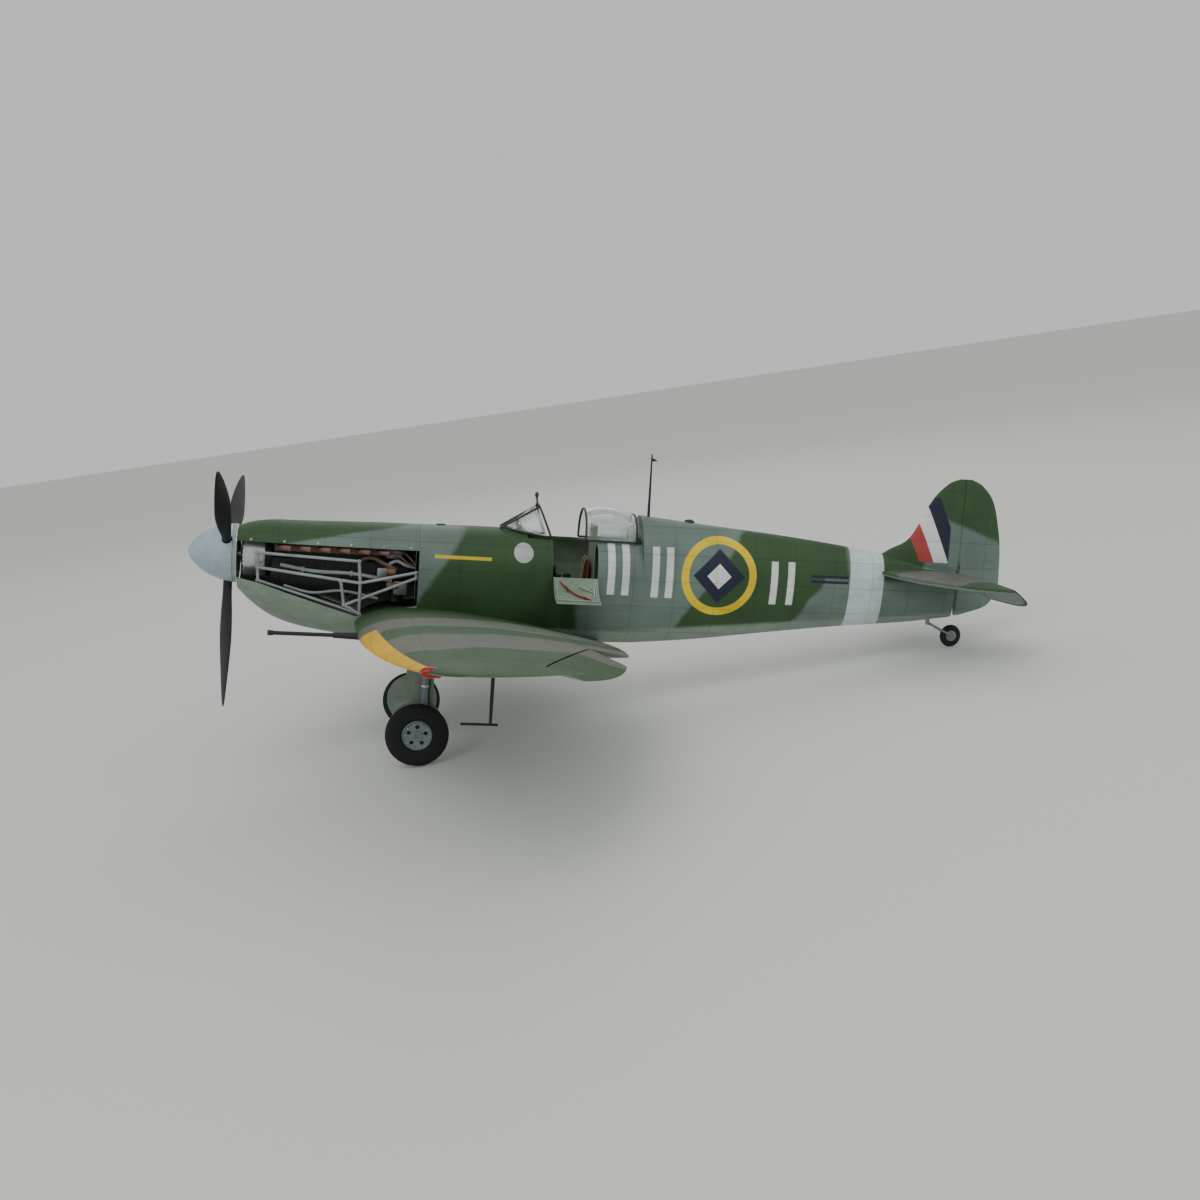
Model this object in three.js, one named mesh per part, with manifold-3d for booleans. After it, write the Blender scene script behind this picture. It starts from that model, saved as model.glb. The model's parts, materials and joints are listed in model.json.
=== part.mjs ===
// A radio-controlled scale model of a single-seat piston fighter, in millimetres.
// Airframe datum: x runs aft from the spinner's tip along the thrust line, y to starboard, z up.
// The whole airframe is then pitched nose-up so that it stands on its two main wheels and its
// tail wheel, with the ground at z = 0 and the origin under the middle of its box.
import * as THREE from "three";
import { mergeVertices } from "three/addons/utils/BufferGeometryUtils.js";
import { ConvexGeometry } from "three/addons/geometries/ConvexGeometry.js";
import Module from "manifold-3d";

const wasm = await Module();
wasm.setup();

// ---- Driving dimensions ----
const HALF_SPAN = 561;
const COWL_FRONT = 52;
const NOSE_LENGTH = 187;
const CABIN_LENGTH = 241;
const AFT_LENGTH = 378;
const FIREWALL = COWL_FRONT + NOSE_LENGTH;
const CABIN_REAR = FIREWALL + CABIN_LENGTH;
const STERN = CABIN_REAR + AFT_LENGTH;
const SHELL_WALL = 2;
const COWL_WALL = 1.4;
const FIT_GAP = 0.3;

// Propeller and spinner
const PROPELLER_RADIUS = 164;
const PROPELLER_X = 41.5;
const SPINNER_RADIUS = 31;
const SPINNER_WALL = 1.3;
const HUB_RADIUS = 11;
const BLADE_ROOT_RADIUS = 4.6;
const BLADE_CHORD = 23;
const FIRST_BLADE_ANGLE = 57;
const SHAFT_RADIUS = 2.5;
const BLADES = 3;

// Wing
const WING_ROOT_LEAD = 175;
const WING_ROOT_TRAIL = 440;
const WING_TIP_X = 250;
const WING_ROOT_Z = -71;
const DIHEDRAL = 5.4;
const ROOT_THICKNESS = 0.13;
const TIP_THICKNESS = 0.065;
const CAMBER = 0.02;
const ROOT_INCIDENCE = 2;
const TIP_INCIDENCE = -0.5;
const TIP_MARGIN = 61;
const AILERON_SPAN = 195;
const AILERON_INNER_CHORD = 35;
const AILERON_OUTER_CHORD = 27;
const FLAP_INNER_Y = 48;
const FLAP_HINGE_X = 378;
const CONTROL_END_GAP = 3;
const CONTROL_RIB = 5;
const CONTROL_NOSE_GAP = 1;
const AILERON_DROOP = 14;

// Tail
const TAILPLANE_HALF_SPAN = 157;
const TAILPLANE_Z = 15.5;
const TAILPLANE_CHORD = 95;
const ELEVATOR_CHORD = 41;
const ELEVATOR_DROOP = 32;
const TAIL_THICKNESS = 0.09;
const FIN_HEIGHT = 128;
const ELEVATOR_HINGE_X = STERN - 3;
const RUDDER_HINGE_X = STERN + 4.5;
const JOINER_RADIUS = 1.6;

// Undercarriage
const TRACK = 174;
const TYRE_RADIUS = 32.85;
const TYRE_WIDTH = 13;
const HUB_RIM_RADIUS = 16;
const AXLE_RADIUS = 2;
const MAIN_AXLE_X = 243.7;
const MAIN_AXLE_Z = -170.6;
const LEG_X = 250;
const LEG_RADIUS = 3.6;
const PIVOT_Z = -68;
const FOLD_ANGLE = 96;
const FAIRING_WALL = 1.2;
const FAIRING_DISC_RADIUS = 28.5;
const WELL_CLEARANCE = 1.8;
const WELL_ROOF_CLEARANCE = 0.9;
const TAIL_AXLE_X = STERN + 3;
const TAIL_AXLE_Z = -55.2;
const TAIL_WHEEL_RADIUS = 13;
const TAIL_WHEEL_WIDTH = 6;
const TAIL_STEER_X = STERN - 27;

// Cockpit
const COCKPIT_FRONT = FIREWALL + 115;
const COCKPIT_HALF_WIDTH = 25.5;
const WINDSCREEN_FRONT = FIREWALL + 88;
const ARCH_X = FIREWALL + 140;
const CANOPY_FRONT = CABIN_REAR - 64;
const CANOPY_LENGTH = 58;
const CANOPY_TOP = 72.2;
const CANOPY_BASE = 34.2;
const CANOPY_HALF_WIDTH = 27.6;
const GLASS_WALL = 1;
const FRAME_ROD = 1;
const DOOR_FRONT = FIREWALL + 142;
const DOOR_LENGTH = 49;
const DOOR_SILL_Z = -5;
const DOOR_OPEN_ANGLE = 148;

// ---- Geometry helpers ----
const degrees = THREE.MathUtils.degToRad;
const point = (x, y, z) => new THREE.Vector3(x, y, z);

// A closed geometry as a solid, its faces turned outwards if they point in.
function solid(geometry) {
  const bare = geometry.clone();
  bare.deleteAttribute("normal");
  bare.deleteAttribute("uv");
  const merged = mergeVertices(bare, 1e-4);
  const corners = Uint32Array.from(merged.index.array);
  const vertProperties = merged.attributes.position.array;
  const build = () => new wasm.Manifold(new wasm.Mesh({ numProp: 3, vertProperties, triVerts: corners }));
  const made = build();
  if (made.volume() >= 0) return made;
  for (let i = 0; i < corners.length; i += 3) [corners[i], corners[i + 1]] = [corners[i + 1], corners[i]];
  return build();
}

const join = (...solids) => solids.reduce((whole, next) => whole.add(next));
const cut = (whole, ...tools) => tools.reduce((left, tool) => left.subtract(tool), whole);

// The biggest of the separate bodies that a cut leaves.
function mainBody(whole) {
  return whole.decompose().sort((a, b) => b.volume() - a.volume())[0];
}

function geometryOf(made) {
  const mesh = made.getMesh();
  const geometry = new THREE.BufferGeometry();
  geometry.setAttribute("position", new THREE.BufferAttribute(Float32Array.from(mesh.vertProperties), 3));
  geometry.setIndex(new THREE.BufferAttribute(mesh.triVerts, 1));
  geometry.computeVertexNormals();
  return geometry;
}

function block(x0, x1, y0, y1, z0, z1) {
  const box = new THREE.BoxGeometry(x1 - x0, y1 - y0, z1 - z0);
  return solid(box.translate((x0 + x1) / 2, (y0 + y1) / 2, (z0 + z1) / 2));
}

// A side outline of [x, z] corners, carried across from y0 to y1.
function sidePrism(outline, y0, y1) {
  const shape = new THREE.Shape(outline.map(([x, z]) => new THREE.Vector2(x, z)));
  const body = new THREE.ExtrudeGeometry(shape, { depth: y1 - y0, bevelEnabled: false });
  return solid(body.rotateX(Math.PI / 2).translate(0, y1, 0));
}

// A front outline of [y, z] corners, carried along from x0 to x1.
function frontPrism(outline, x0, x1) {
  const shape = new THREE.Shape(outline.map(([y, z]) => new THREE.Vector2(y, z)));
  const body = new THREE.ExtrudeGeometry(shape, { depth: x1 - x0, bevelEnabled: false });
  const turn = new THREE.Matrix4().makeBasis(point(0, 1, 0), point(0, 0, 1), point(1, 0, 0));
  return solid(body.applyMatrix4(turn).translate(x0, 0, 0));
}

// A straight round rod, tapered when the second radius differs.
function rod(from, to, radius, endRadius = radius, sides = 10) {
  const span = new THREE.Vector3().subVectors(to, from);
  const body = new THREE.CylinderGeometry(endRadius, radius, span.length(), sides);
  const turn = new THREE.Quaternion().setFromUnitVectors(point(0, 1, 0), span.clone().normalize());
  const middle = new THREE.Vector3().addVectors(from, to).multiplyScalar(0.5);
  return solid(body.applyQuaternion(turn).translate(middle.x, middle.y, middle.z));
}

// A profile of [distance along, radius] points turned about the x axis.
function turnedX(profile, sides = 22) {
  const body = new THREE.LatheGeometry(profile.map(([along, radius]) => new THREE.Vector2(radius, along)), sides);
  return solid(body.rotateZ(-Math.PI / 2));
}

// A profile of [distance along, radius] points turned about the y axis.
function turnedY(profile, sides = 32) {
  return solid(new THREE.LatheGeometry(profile.map(([along, r]) => new THREE.Vector2(r, along)), sides));
}

// A closed body through rings of equally many points, with a fan of triangles over each end.
function loft(rings) {
  const size = rings[0].length;
  const corners = rings.flat();
  const faces = [];
  for (let start = 0; start < corners.length - size; start += size) {
    for (let i = 0; i < size; i++) {
      const next = (i + 1) % size;
      faces.push(start + i, start + next, start + size + next);
      faces.push(start + i, start + size + next, start + size + i);
    }
  }
  for (const [start, flip] of [[0, false], [corners.length - size, true]]) {
    const centre = point(0, 0, 0);
    for (let i = 0; i < size; i++) centre.addScaledVector(corners[start + i], 1 / size);
    for (let i = 0; i < size; i++) {
      const [a, b] = [start + i, start + ((i + 1) % size)];
      faces.push(corners.length, flip ? a : b, flip ? b : a);
    }
    corners.push(centre);
  }
  const geometry = new THREE.BufferGeometry();
  geometry.setAttribute("position", new THREE.Float32BufferAttribute(corners.flatMap((c) => c.toArray()), 3));
  geometry.setIndex(faces);
  return solid(geometry);
}

// Smooth values through rows of [position, value, value, ...], level beyond both ends.
function keyed(rows, position) {
  const last = rows.length - 1;
  if (position <= rows[0][0]) return rows[0].slice(1);
  if (position >= rows[last][0]) return rows[last].slice(1);
  const i = rows.findIndex((row) => row[0] > position) - 1;
  const [from, to] = [rows[i], rows[i + 1]];
  const [before, after] = [rows[Math.max(i - 1, 0)], rows[Math.min(i + 2, last)]];
  const width = to[0] - from[0];
  const t = (position - from[0]) / width;
  return from.slice(1).map((value, k) => {
    const slopeFrom = ((to[k + 1] - before[k + 1]) / (to[0] - before[0])) * width;
    const slopeTo = ((after[k + 1] - value) / (after[0] - from[0])) * width;
    const rise = to[k + 1] - value;
    const cubic = slopeFrom + slopeTo - 2 * rise;
    return value + t * (slopeFrom + t * (3 * rise - 2 * slopeFrom - slopeTo + t * cubic));
  });
}

// Evenly spaced values from one end to the other, both ends included.
const spaced = (from, to, count) =>
  Array.from({ length: count }, (_, i) => from + ((to - from) * i) / (count - 1));

// ---- Fuselage shape ----
// Rows of [share of the stretch, top, bottom, half width, height of the widest point].
const NOSE_SHAPE = [
  [0, 29.5, -37, 31, -1],
  [0.07, 34.3, -49.8, 33.5, -3],
  [0.18, 37.4, -64, 36.5, -5],
  [0.32, 38, -73.5, 38.8, -6],
  [0.54, 39.2, -80.5, 40.2, -6],
  [0.77, 40.5, -84, 41, -5],
];
const CABIN_SHAPE = [
  [0, 41, -84, 41.8, -4],
  [0.17, 42.1, -83, 42.6, -2],
  [0.37, 42.4, -82, 43, -1],
  [0.7, 42.4, -80.5, 42.6, 0],
  [1, 42.4, -78.5, 41, 0],
];
const AFT_SHAPE = [
  [0, 64.4, -78.5, 41, 0],
  [0.18, 58.6, -72, 36.5, 1],
  [0.43, 51.1, -59.5, 28.5, 2],
  [0.62, 43.6, -50.5, 21.5, 3],
  [0.75, 37, -45.5, 16.5, 3],
  [0.87, 33, -40.5, 11.5, 2],
  [1, 28, -33, 6.5, 0],
];
const placed = (rows, start, length) => rows.map(([share, ...values]) => [start + share * length, ...values]);
const FRONT_ROWS = [
  ...placed(NOSE_SHAPE, COWL_FRONT, NOSE_LENGTH),
  ...placed(CABIN_SHAPE, FIREWALL, CABIN_LENGTH),
];
const AFT_ROWS = placed(AFT_SHAPE, CABIN_REAR, AFT_LENGTH);
const BODY_SIDES = 24;

// An egg of two half ellipses at one station, moved outwards by grow.
function bodyRing(rows, x, grow) {
  const [top, bottom, half, widest] = keyed(rows, x);
  return Array.from({ length: BODY_SIDES }, (_, i) => {
    const angle = (2 * Math.PI * i) / BODY_SIDES;
    const reach = (Math.sin(angle) > 0 ? top - widest : widest - bottom) + grow;
    return point(x, (half + grow) * Math.cos(angle), widest + reach * Math.sin(angle));
  });
}

const bodyLoft = (rows, from, to, count, grow) =>
  loft(spaced(from, to, count).map((x) => bodyRing(rows, x, grow)));

// Height of the front fuselage's skin at a place on its deck.
function deckHeight(x, y) {
  const [top, , half, widest] = keyed(FRONT_ROWS, x);
  return widest + (top - widest) * Math.sqrt(1 - (y / half) ** 2);
}

// ---- Wing shape ----
const FOIL_SHARES = [1, 0.84, 0.66, 0.48, 0.32, 0.19, 0.09, 0.028];
const FOIL_EDGE = 0.25;
const NO_LIMIT = 400;
const TIP_SHARE = 0.9985;

// Half thickness of a four-digit section of unit chord and the given thickness.
function foilHalf(share, thickness) {
  const curve = 0.2969 * Math.sqrt(share) - 0.126 * share - 0.3516 * share ** 2;
  return 5 * thickness * (curve + 0.2843 * share ** 3 - 0.1036 * share ** 4);
}

// Camber line of the section: two parabolas that meet a fifth of the chord back.
function foilCamber(share, camber) {
  const peak = 0.2;
  if (share < peak) return (camber / peak ** 2) * (2 * peak * share - share ** 2);
  return (camber / (1 - peak) ** 2) * (1 - 2 * peak + 2 * peak * share - share ** 2);
}

// Leading edge, chord, thickness share, mid height and incidence of the wing at a distance outboard.
function wingAt(outboard) {
  const share = THREE.MathUtils.clamp(outboard / HALF_SPAN, 0, TIP_SHARE);
  const lead = WING_TIP_X - (WING_TIP_X - WING_ROOT_LEAD) * (1 - share ** 2.4) ** 0.476;
  const trail = WING_TIP_X + (WING_ROOT_TRAIL - WING_TIP_X) * (1 - share ** 2.3) ** 0.5;
  return {
    lead,
    trail,
    chord: trail - lead,
    thickness: ROOT_THICKNESS + (TIP_THICKNESS - ROOT_THICKNESS) * share,
    height: WING_ROOT_Z + outboard * Math.tan(degrees(DIHEDRAL)),
    slope: Math.tan(degrees(ROOT_INCIDENCE + (TIP_INCIDENCE - ROOT_INCIDENCE) * share)),
  };
}

// Camber-line height and half thickness of the wing at a place.
function wingSkin(x, outboard) {
  const wing = wingAt(outboard);
  const share = THREE.MathUtils.clamp((x - wing.lead) / wing.chord, 0, 1);
  const quarter = wing.lead + wing.chord / 4;
  const middle = wing.height + foilCamber(share, CAMBER) * wing.chord - (x - quarter) * wing.slope;
  return { middle, half: foilHalf(share, wing.thickness) * wing.chord + FOIL_EDGE };
}

// The wing's section as a ring; a floor or a ceiling replaces its lower or upper side.
function wingRing(side, outboard, { floor, ceiling, shift = 0 }) {
  const wing = wingAt(outboard);
  const at = (share, sign, limit) => {
    const x = wing.lead + share * wing.chord;
    const { middle, half } = wingSkin(x, outboard);
    return point(x, side * outboard, limit ?? middle + sign * half + shift);
  };
  const nose = wingSkin(wing.lead, outboard).middle + shift;
  const upper = FOIL_SHARES.map((share) => at(share, 1, ceiling));
  const lower = FOIL_SHARES.toReversed().map((share) => at(share, -1, floor));
  return [...upper, point(wing.lead - (floor || ceiling ? 1 : 0), side * outboard, nose), ...lower];
}

function wingLoft(side, options = {}, inner = FIT_GAP / 2, outer = HALF_SPAN * TIP_SHARE) {
  const stations = 14;
  const outboards = spaced(0, 1, stations).map((t) => inner + (outer - inner) * Math.sin((t * Math.PI) / 2));
  return loft(outboards.map((outboard) => wingRing(side, outboard, options)));
}

// Everything under the wing's upper skin near the fuselage, and everything above its lower skin.
const CENTRE_REACH = 60;
const underWing = join(
  wingLoft(1, { floor: -NO_LIMIT, shift: FIT_GAP }, -1, CENTRE_REACH),
  wingLoft(-1, { floor: -NO_LIMIT, shift: FIT_GAP }, -1, CENTRE_REACH),
);
const aboveWing = (side) => wingLoft(side, { ceiling: NO_LIMIT, shift: -FIT_GAP });

// ---- Hinged surfaces ----
// The space of a control surface: a round nose about its hinge line, then everything aft of it.
function hingeTool(ends, normal, grow, reach = 120, height = 40) {
  const aft = point(1, 0, 0);
  return loft(ends.map(({ at, radius }) => {
    const place = (x, n) => at.clone().addScaledVector(aft, x).addScaledVector(normal, n);
    const nose = spaced(Math.PI / 2, -Math.PI / 2, 7).map((angle) => {
      return place(-(radius + grow) * Math.cos(angle), (radius + grow) * Math.sin(angle));
    });
    return [...nose, place(0, -height), place(reach, -height), place(reach, height), place(0, height)];
  }));
}

// A surface and the body it is cut from, with clearance at the nose and at both ends.
function splitSurface(whole, line, normal, endGap) {
  const last = line.length - 1;
  const along = new THREE.Vector3().subVectors(line[last].at, line[0].at).normalize();
  const shrunk = line.map(({ at, radius }, i) => {
    const inset = i === 0 ? endGap : i === last ? -endGap : 0;
    return { at: at.clone().addScaledVector(along, inset), radius };
  });
  const opening = hingeTool(line, normal, CONTROL_NOSE_GAP);
  return [whole.intersect(hingeTool(shrunk, normal, 0)), whole.subtract(opening)];
}

const wingHinge = (side, x, outboard) => {
  const { middle, half } = wingSkin(x, outboard);
  return { at: point(x, side * outboard, middle), radius: half };
};
const AILERON_OUTER_Y = HALF_SPAN - TIP_MARGIN;
const AILERON_INNER_Y = AILERON_OUTER_Y - AILERON_SPAN;
const FLAP_OUTER_Y = AILERON_INNER_Y - CONTROL_RIB;
// A straight hinge line between two places, its nose radius following the wing's thickness.
function hingeLine(side, [x0, y0], [x1, y1]) {
  const [inner, outer] = [wingHinge(side, x0, y0), wingHinge(side, x1, y1)];
  return spaced(0, 1, 4).map((t) => ({
    at: inner.at.clone().lerp(outer.at, t),
    radius: wingSkin(THREE.MathUtils.lerp(x0, x1, t), THREE.MathUtils.lerp(y0, y1, t)).half,
  }));
}

const aileronLine = (side) => hingeLine(
  side,
  [wingAt(AILERON_INNER_Y).trail - AILERON_INNER_CHORD, AILERON_INNER_Y],
  [wingAt(AILERON_OUTER_Y).trail - AILERON_OUTER_CHORD, AILERON_OUTER_Y],
);
const flapLine = (side) => hingeLine(side, [FLAP_HINGE_X, FLAP_INNER_Y], [FLAP_HINGE_X, FLAP_OUTER_Y]);

// ---- Undercarriage ----
const WHEEL_Y = TRACK / 2;
const LEG_Y = WHEEL_Y - TYRE_WIDTH / 2 - 1 - LEG_RADIUS;
const FAIRING_Y = LEG_Y - LEG_RADIUS - 1;
const FAIRING_DISC_Z = MAIN_AXLE_Z + 5;
const WELL_DEPTH = 30;

// Turns a solid built with the leg down into its folded place.
function folded(made, side) {
  const geometry = geometryOf(made);
  geometry.translate(0, -side * LEG_Y, -PIVOT_Z);
  geometry.rotateX(side * degrees(FOLD_ANGLE));
  geometry.translate(0, side * LEG_Y, PIVOT_Z);
  return solid(geometry);
}

const across = (side, a, b) => [Math.min(side * a, side * b), Math.max(side * a, side * b)];

// The fairing's outline: a strip down the leg and a disc over the wheel, cut off below the axle.
function fairingSolid(side, grow, inner, outer) {
  const [y0, y1] = across(side, inner, outer);
  const strip = sidePrism([
    [LEG_X - 7 - grow, PIVOT_Z - 12 + grow],
    [LEG_X + 7 + grow, PIVOT_Z - 12 + grow],
    [LEG_X + 12 + grow, FAIRING_DISC_Z],
    [LEG_X - 18 - grow, FAIRING_DISC_Z],
  ], y0, y1);
  const disc = rod(point(MAIN_AXLE_X, y0, FAIRING_DISC_Z), point(MAIN_AXLE_X, y1, FAIRING_DISC_Z),
    FAIRING_DISC_RADIUS + grow, FAIRING_DISC_RADIUS + grow, 32);
  const below = block(0, 500, y0 - 1, y1 + 1, -300, MAIN_AXLE_Z - 14 - grow);
  return cut(join(strip, disc), below);
}

function wheelWell(side) {
  const inner = LEG_Y - WELL_DEPTH;
  // The well's roof stays just under the wing's upper skin.
  const wheelOuter = WHEEL_Y + TYRE_WIDTH / 2 + WELL_ROOF_CLEARANCE;
  const pocket = rod(point(MAIN_AXLE_X, side * inner, MAIN_AXLE_Z), point(MAIN_AXLE_X, side * wheelOuter, MAIN_AXLE_Z),
    TYRE_RADIUS + WELL_CLEARANCE, TYRE_RADIUS + WELL_CLEARANCE, 32);
  const legReach = LEG_RADIUS + WELL_CLEARANCE;
  const channel = block(LEG_X - legReach, LEG_X + legReach, ...across(side, inner, LEG_Y + legReach),
    MAIN_AXLE_Z, PIVOT_Z);
  const recess = fairingSolid(side, WELL_CLEARANCE, inner, FAIRING_Y + WELL_CLEARANCE);
  const slot = block(LEG_X - 10, LEG_X + 10, ...across(side, LEG_Y - 8, LEG_Y + 8), -NO_LIMIT,
    PIVOT_Z + LEG_RADIUS + WELL_CLEARANCE);
  return join(folded(join(pocket, channel, recess), side), slot);
}

function legSolid(side) {
  const y = side * LEG_Y;
  const knee = point(LEG_X, y, MAIN_AXLE_Z + 20);
  return join(
    rod(point(LEG_X - 8, y, PIVOT_Z), point(LEG_X + 8, y, PIVOT_Z), LEG_RADIUS),
    rod(point(LEG_X, y, PIVOT_Z), knee, LEG_RADIUS, LEG_RADIUS, 12),
    rod(knee.clone().setZ(knee.z + 1), point(LEG_X, y, MAIN_AXLE_Z + 6), 2.7),
    rod(point(LEG_X, y, MAIN_AXLE_Z + 8), point(MAIN_AXLE_X, y, MAIN_AXLE_Z), 3),
    rod(point(MAIN_AXLE_X, y - side * 2, MAIN_AXLE_Z), point(MAIN_AXLE_X, side * (WHEEL_Y + 5), MAIN_AXLE_Z),
      AXLE_RADIUS),
  );
}

// A tyre's ring: a flat bore, short sidewalls and a rounded tread.
function tyreSolid(side, x, z, radius, width, bore) {
  const half = width / 2;
  const profile = [
    [-half * 0.75, bore], [-half, (bore + radius) / 2], [-half * 0.85, radius - 3.2], [-half * 0.4, radius - 0.4],
    [0, radius], [half * 0.4, radius - 0.4], [half * 0.85, radius - 3.2], [half, (bore + radius) / 2],
    [half * 0.75, bore], [-half * 0.75, bore],
  ];
  const ring = turnedY(profile, 30);
  return solid(geometryOf(ring).translate(x, side * WHEEL_Y, z));
}

function hubSolid(side) {
  const half = TYRE_WIDTH / 2 - 0.7;
  const rim = HUB_RIM_RADIUS - FIT_GAP;
  const disc = turnedY([
    [-half, AXLE_RADIUS + FIT_GAP], [-half, rim - 1], [-half * 0.8, rim], [half * 0.8, rim], [half, rim - 1],
    [half - 1.8, rim - 3], [half - 1.8, 5], [half, 4.4], [half, AXLE_RADIUS + FIT_GAP],
    [-half, AXLE_RADIUS + FIT_GAP],
  ], 24);
  const holes = Array.from({ length: 5 }, (_, i) => {
    const angle = (2 * Math.PI * i) / 5;
    const [x, z] = [9 * Math.sin(angle), 9 * Math.cos(angle)];
    return rod(point(x, -TYRE_WIDTH, z), point(x, TYRE_WIDTH, z), 2.3, 2.3, 8);
  });
  const drilled = geometryOf(cut(disc, ...holes)).scale(1, side, 1);
  return solid(drilled.translate(MAIN_AXLE_X, side * WHEEL_Y, MAIN_AXLE_Z));
}

// ---- Materials ----
const paint = (color, roughness = 0.55, metalness = 0) =>
  new THREE.MeshStandardMaterial({ color, roughness, metalness });
const PAINT = {
  green: paint(0x2f4a2e),
  grey: paint(0x5b6b6a),
  underside: paint(0x8b9a94),
  spinner: paint(0x9fb0ba, 0.4),
  blade: paint(0x17181a, 0.5),
  steel: paint(0x9aa0a2, 0.35, 0.8),
  dark: paint(0x26282b, 0.6, 0.3),
  alloy: paint(0xb9bcbf, 0.3, 0.85),
  exhaust: paint(0x6a4a3c, 0.7, 0.5),
  bearer: paint(0x9ba6a6, 0.5),
  interior: paint(0x6f8567, 0.7),
  seat: paint(0x5a2a22, 0.6),
  rubber: paint(0x1b1c1e, 0.85),
  hub: paint(0x8e9497, 0.45, 0.4),
  glass: new THREE.MeshStandardMaterial({ color: 0xdfe8ea, roughness: 0.1, transparent: true, opacity: 0.35 }),
  battery: paint(0x2b4f9e, 0.4),
  electronics: paint(0x1e1f24, 0.5),
};

const airframe = new THREE.Group();

function add(name, made, material, parent = airframe) {
  const mesh = new THREE.Mesh(geometryOf(made), material);
  mesh.name = name;
  parent.add(mesh);
  return mesh;
}

// A group turned about a hinge line, for pieces that rest away from the place they were cut in.
function turnedGroup(at, axis, angle) {
  const group = new THREE.Group();
  const inner = new THREE.Group();
  group.position.copy(at);
  group.quaternion.setFromAxisAngle(axis.clone().normalize(), degrees(angle));
  inner.position.copy(at).negate();
  group.add(inner);
  airframe.add(group);
  return inner;
}

const SIDES = [["left", -1], ["right", 1]];

// ---- Fuselage, cowlings and firewall ----
function addFuselage() {
  const outer = join(
    bodyLoft(FRONT_ROWS, FIREWALL, CABIN_REAR + 1, 9, 0),
    bodyLoft(AFT_ROWS, CABIN_REAR, STERN, 13, 0),
  );
  const inner = join(
    bodyLoft(FRONT_ROWS, FIREWALL - 1, CABIN_REAR + 2 * SHELL_WALL, 9, -SHELL_WALL),
    bodyLoft(AFT_ROWS, CABIN_REAR + SHELL_WALL, STERN - 14, 10, -SHELL_WALL),
  );
  const cockpit = block(COCKPIT_FRONT, CABIN_REAR, -COCKPIT_HALF_WIDTH, COCKPIT_HALF_WIDTH, 8, 43);
  const door = block(DOOR_FRONT, DOOR_FRONT + DOOR_LENGTH, -60, -15, DOOR_SILL_Z, 60);
  const joinerSlot = block(ELEVATOR_HINGE_X - JOINER_RADIUS - 1, STERN + 1, -20, 20,
    TAILPLANE_Z - JOINER_RADIUS - 1, TAILPLANE_Z + JOINER_RADIUS + 1);
  const tailLegHole = rod(point(TAIL_STEER_X, 0, -80), point(TAIL_STEER_X, 0, -20), 3.2);
  const mastHole = rod(point(CABIN_REAR + 10, 0, 50), point(CABIN_REAR + 10, 0, 90), 2.2);
  const body = cut(outer, inner, cockpit, door, underWing, joinerSlot, tailLegHole, mastHole);
  add("fuselage_shell", mainBody(body), PAINT.green);

  const plate = bodyLoft(FRONT_ROWS, FIREWALL + 0.5, FIREWALL + 3, 2, -SHELL_WALL - FIT_GAP);
  add("firewall", mainBody(cut(plate, underWing)), PAINT.steel);
}

function addCowlings() {
  const shell = cut(
    bodyLoft(FRONT_ROWS, COWL_FRONT, FIREWALL - FIT_GAP, 12, 0),
    bodyLoft(FRONT_ROWS, COWL_FRONT - 1, FIREWALL + 1, 12, -COWL_WALL),
  );
  const splitZ = 15.2;
  const lowerEdge = [
    [COWL_FRONT - 5, -22], [COWL_FRONT + 23, -27],
    [WING_ROOT_LEAD, -58], [FIREWALL + 5, -42],
  ];
  const gap = FIT_GAP / 2;
  const upper = block(0, FIREWALL, -80, 80, splitZ + gap, 80);
  const lower = sidePrism([[0, -200], [FIREWALL + 5, -200], ...lowerEdge.toReversed(), [0, -22]]
    .map(([x, z]) => [x, z - gap]), -80, 80);
  const side = sidePrism([[0, splitZ - gap], [FIREWALL + 5, splitZ - gap],
    ...lowerEdge.toReversed().map(([x, z]) => [x, z + gap]), [0, -22 + gap]], 0, 80);
  add("upper_cowl", shell.intersect(upper), PAINT.green);
  const exhaustSlot = block(ENGINE_FRONT + 2, ENGINE_REAR + 6, 20, 60, 6.5, 60);
  add("right_side_cowl", cut(shell.intersect(side), underWing, exhaustSlot), PAINT.green);
  add("lower_cowl", mainBody(cut(shell.intersect(lower), underWing)), PAINT.underside);
}

// ---- Propeller ----
const SPINNER_PROFILE = [[0, 0], [1, 4], [5, 10.5], [13, 18.2], [24, 24.8], [36, 29.3], [49.6, SPINNER_RADIUS]];

function bladeRing(distance, chord, thickness, pitch) {
  const sides = 10;
  return Array.from({ length: sides }, (_, i) => {
    const angle = (2 * Math.PI * i) / sides;
    const [along, proud] = [(chord / 2) * Math.cos(angle), (thickness / 2) * Math.sin(angle)];
    const [c, s] = [Math.cos(degrees(pitch)), Math.sin(degrees(pitch))];
    return point(along * s - proud * c, along * c + proud * s, distance);
  });
}

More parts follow.
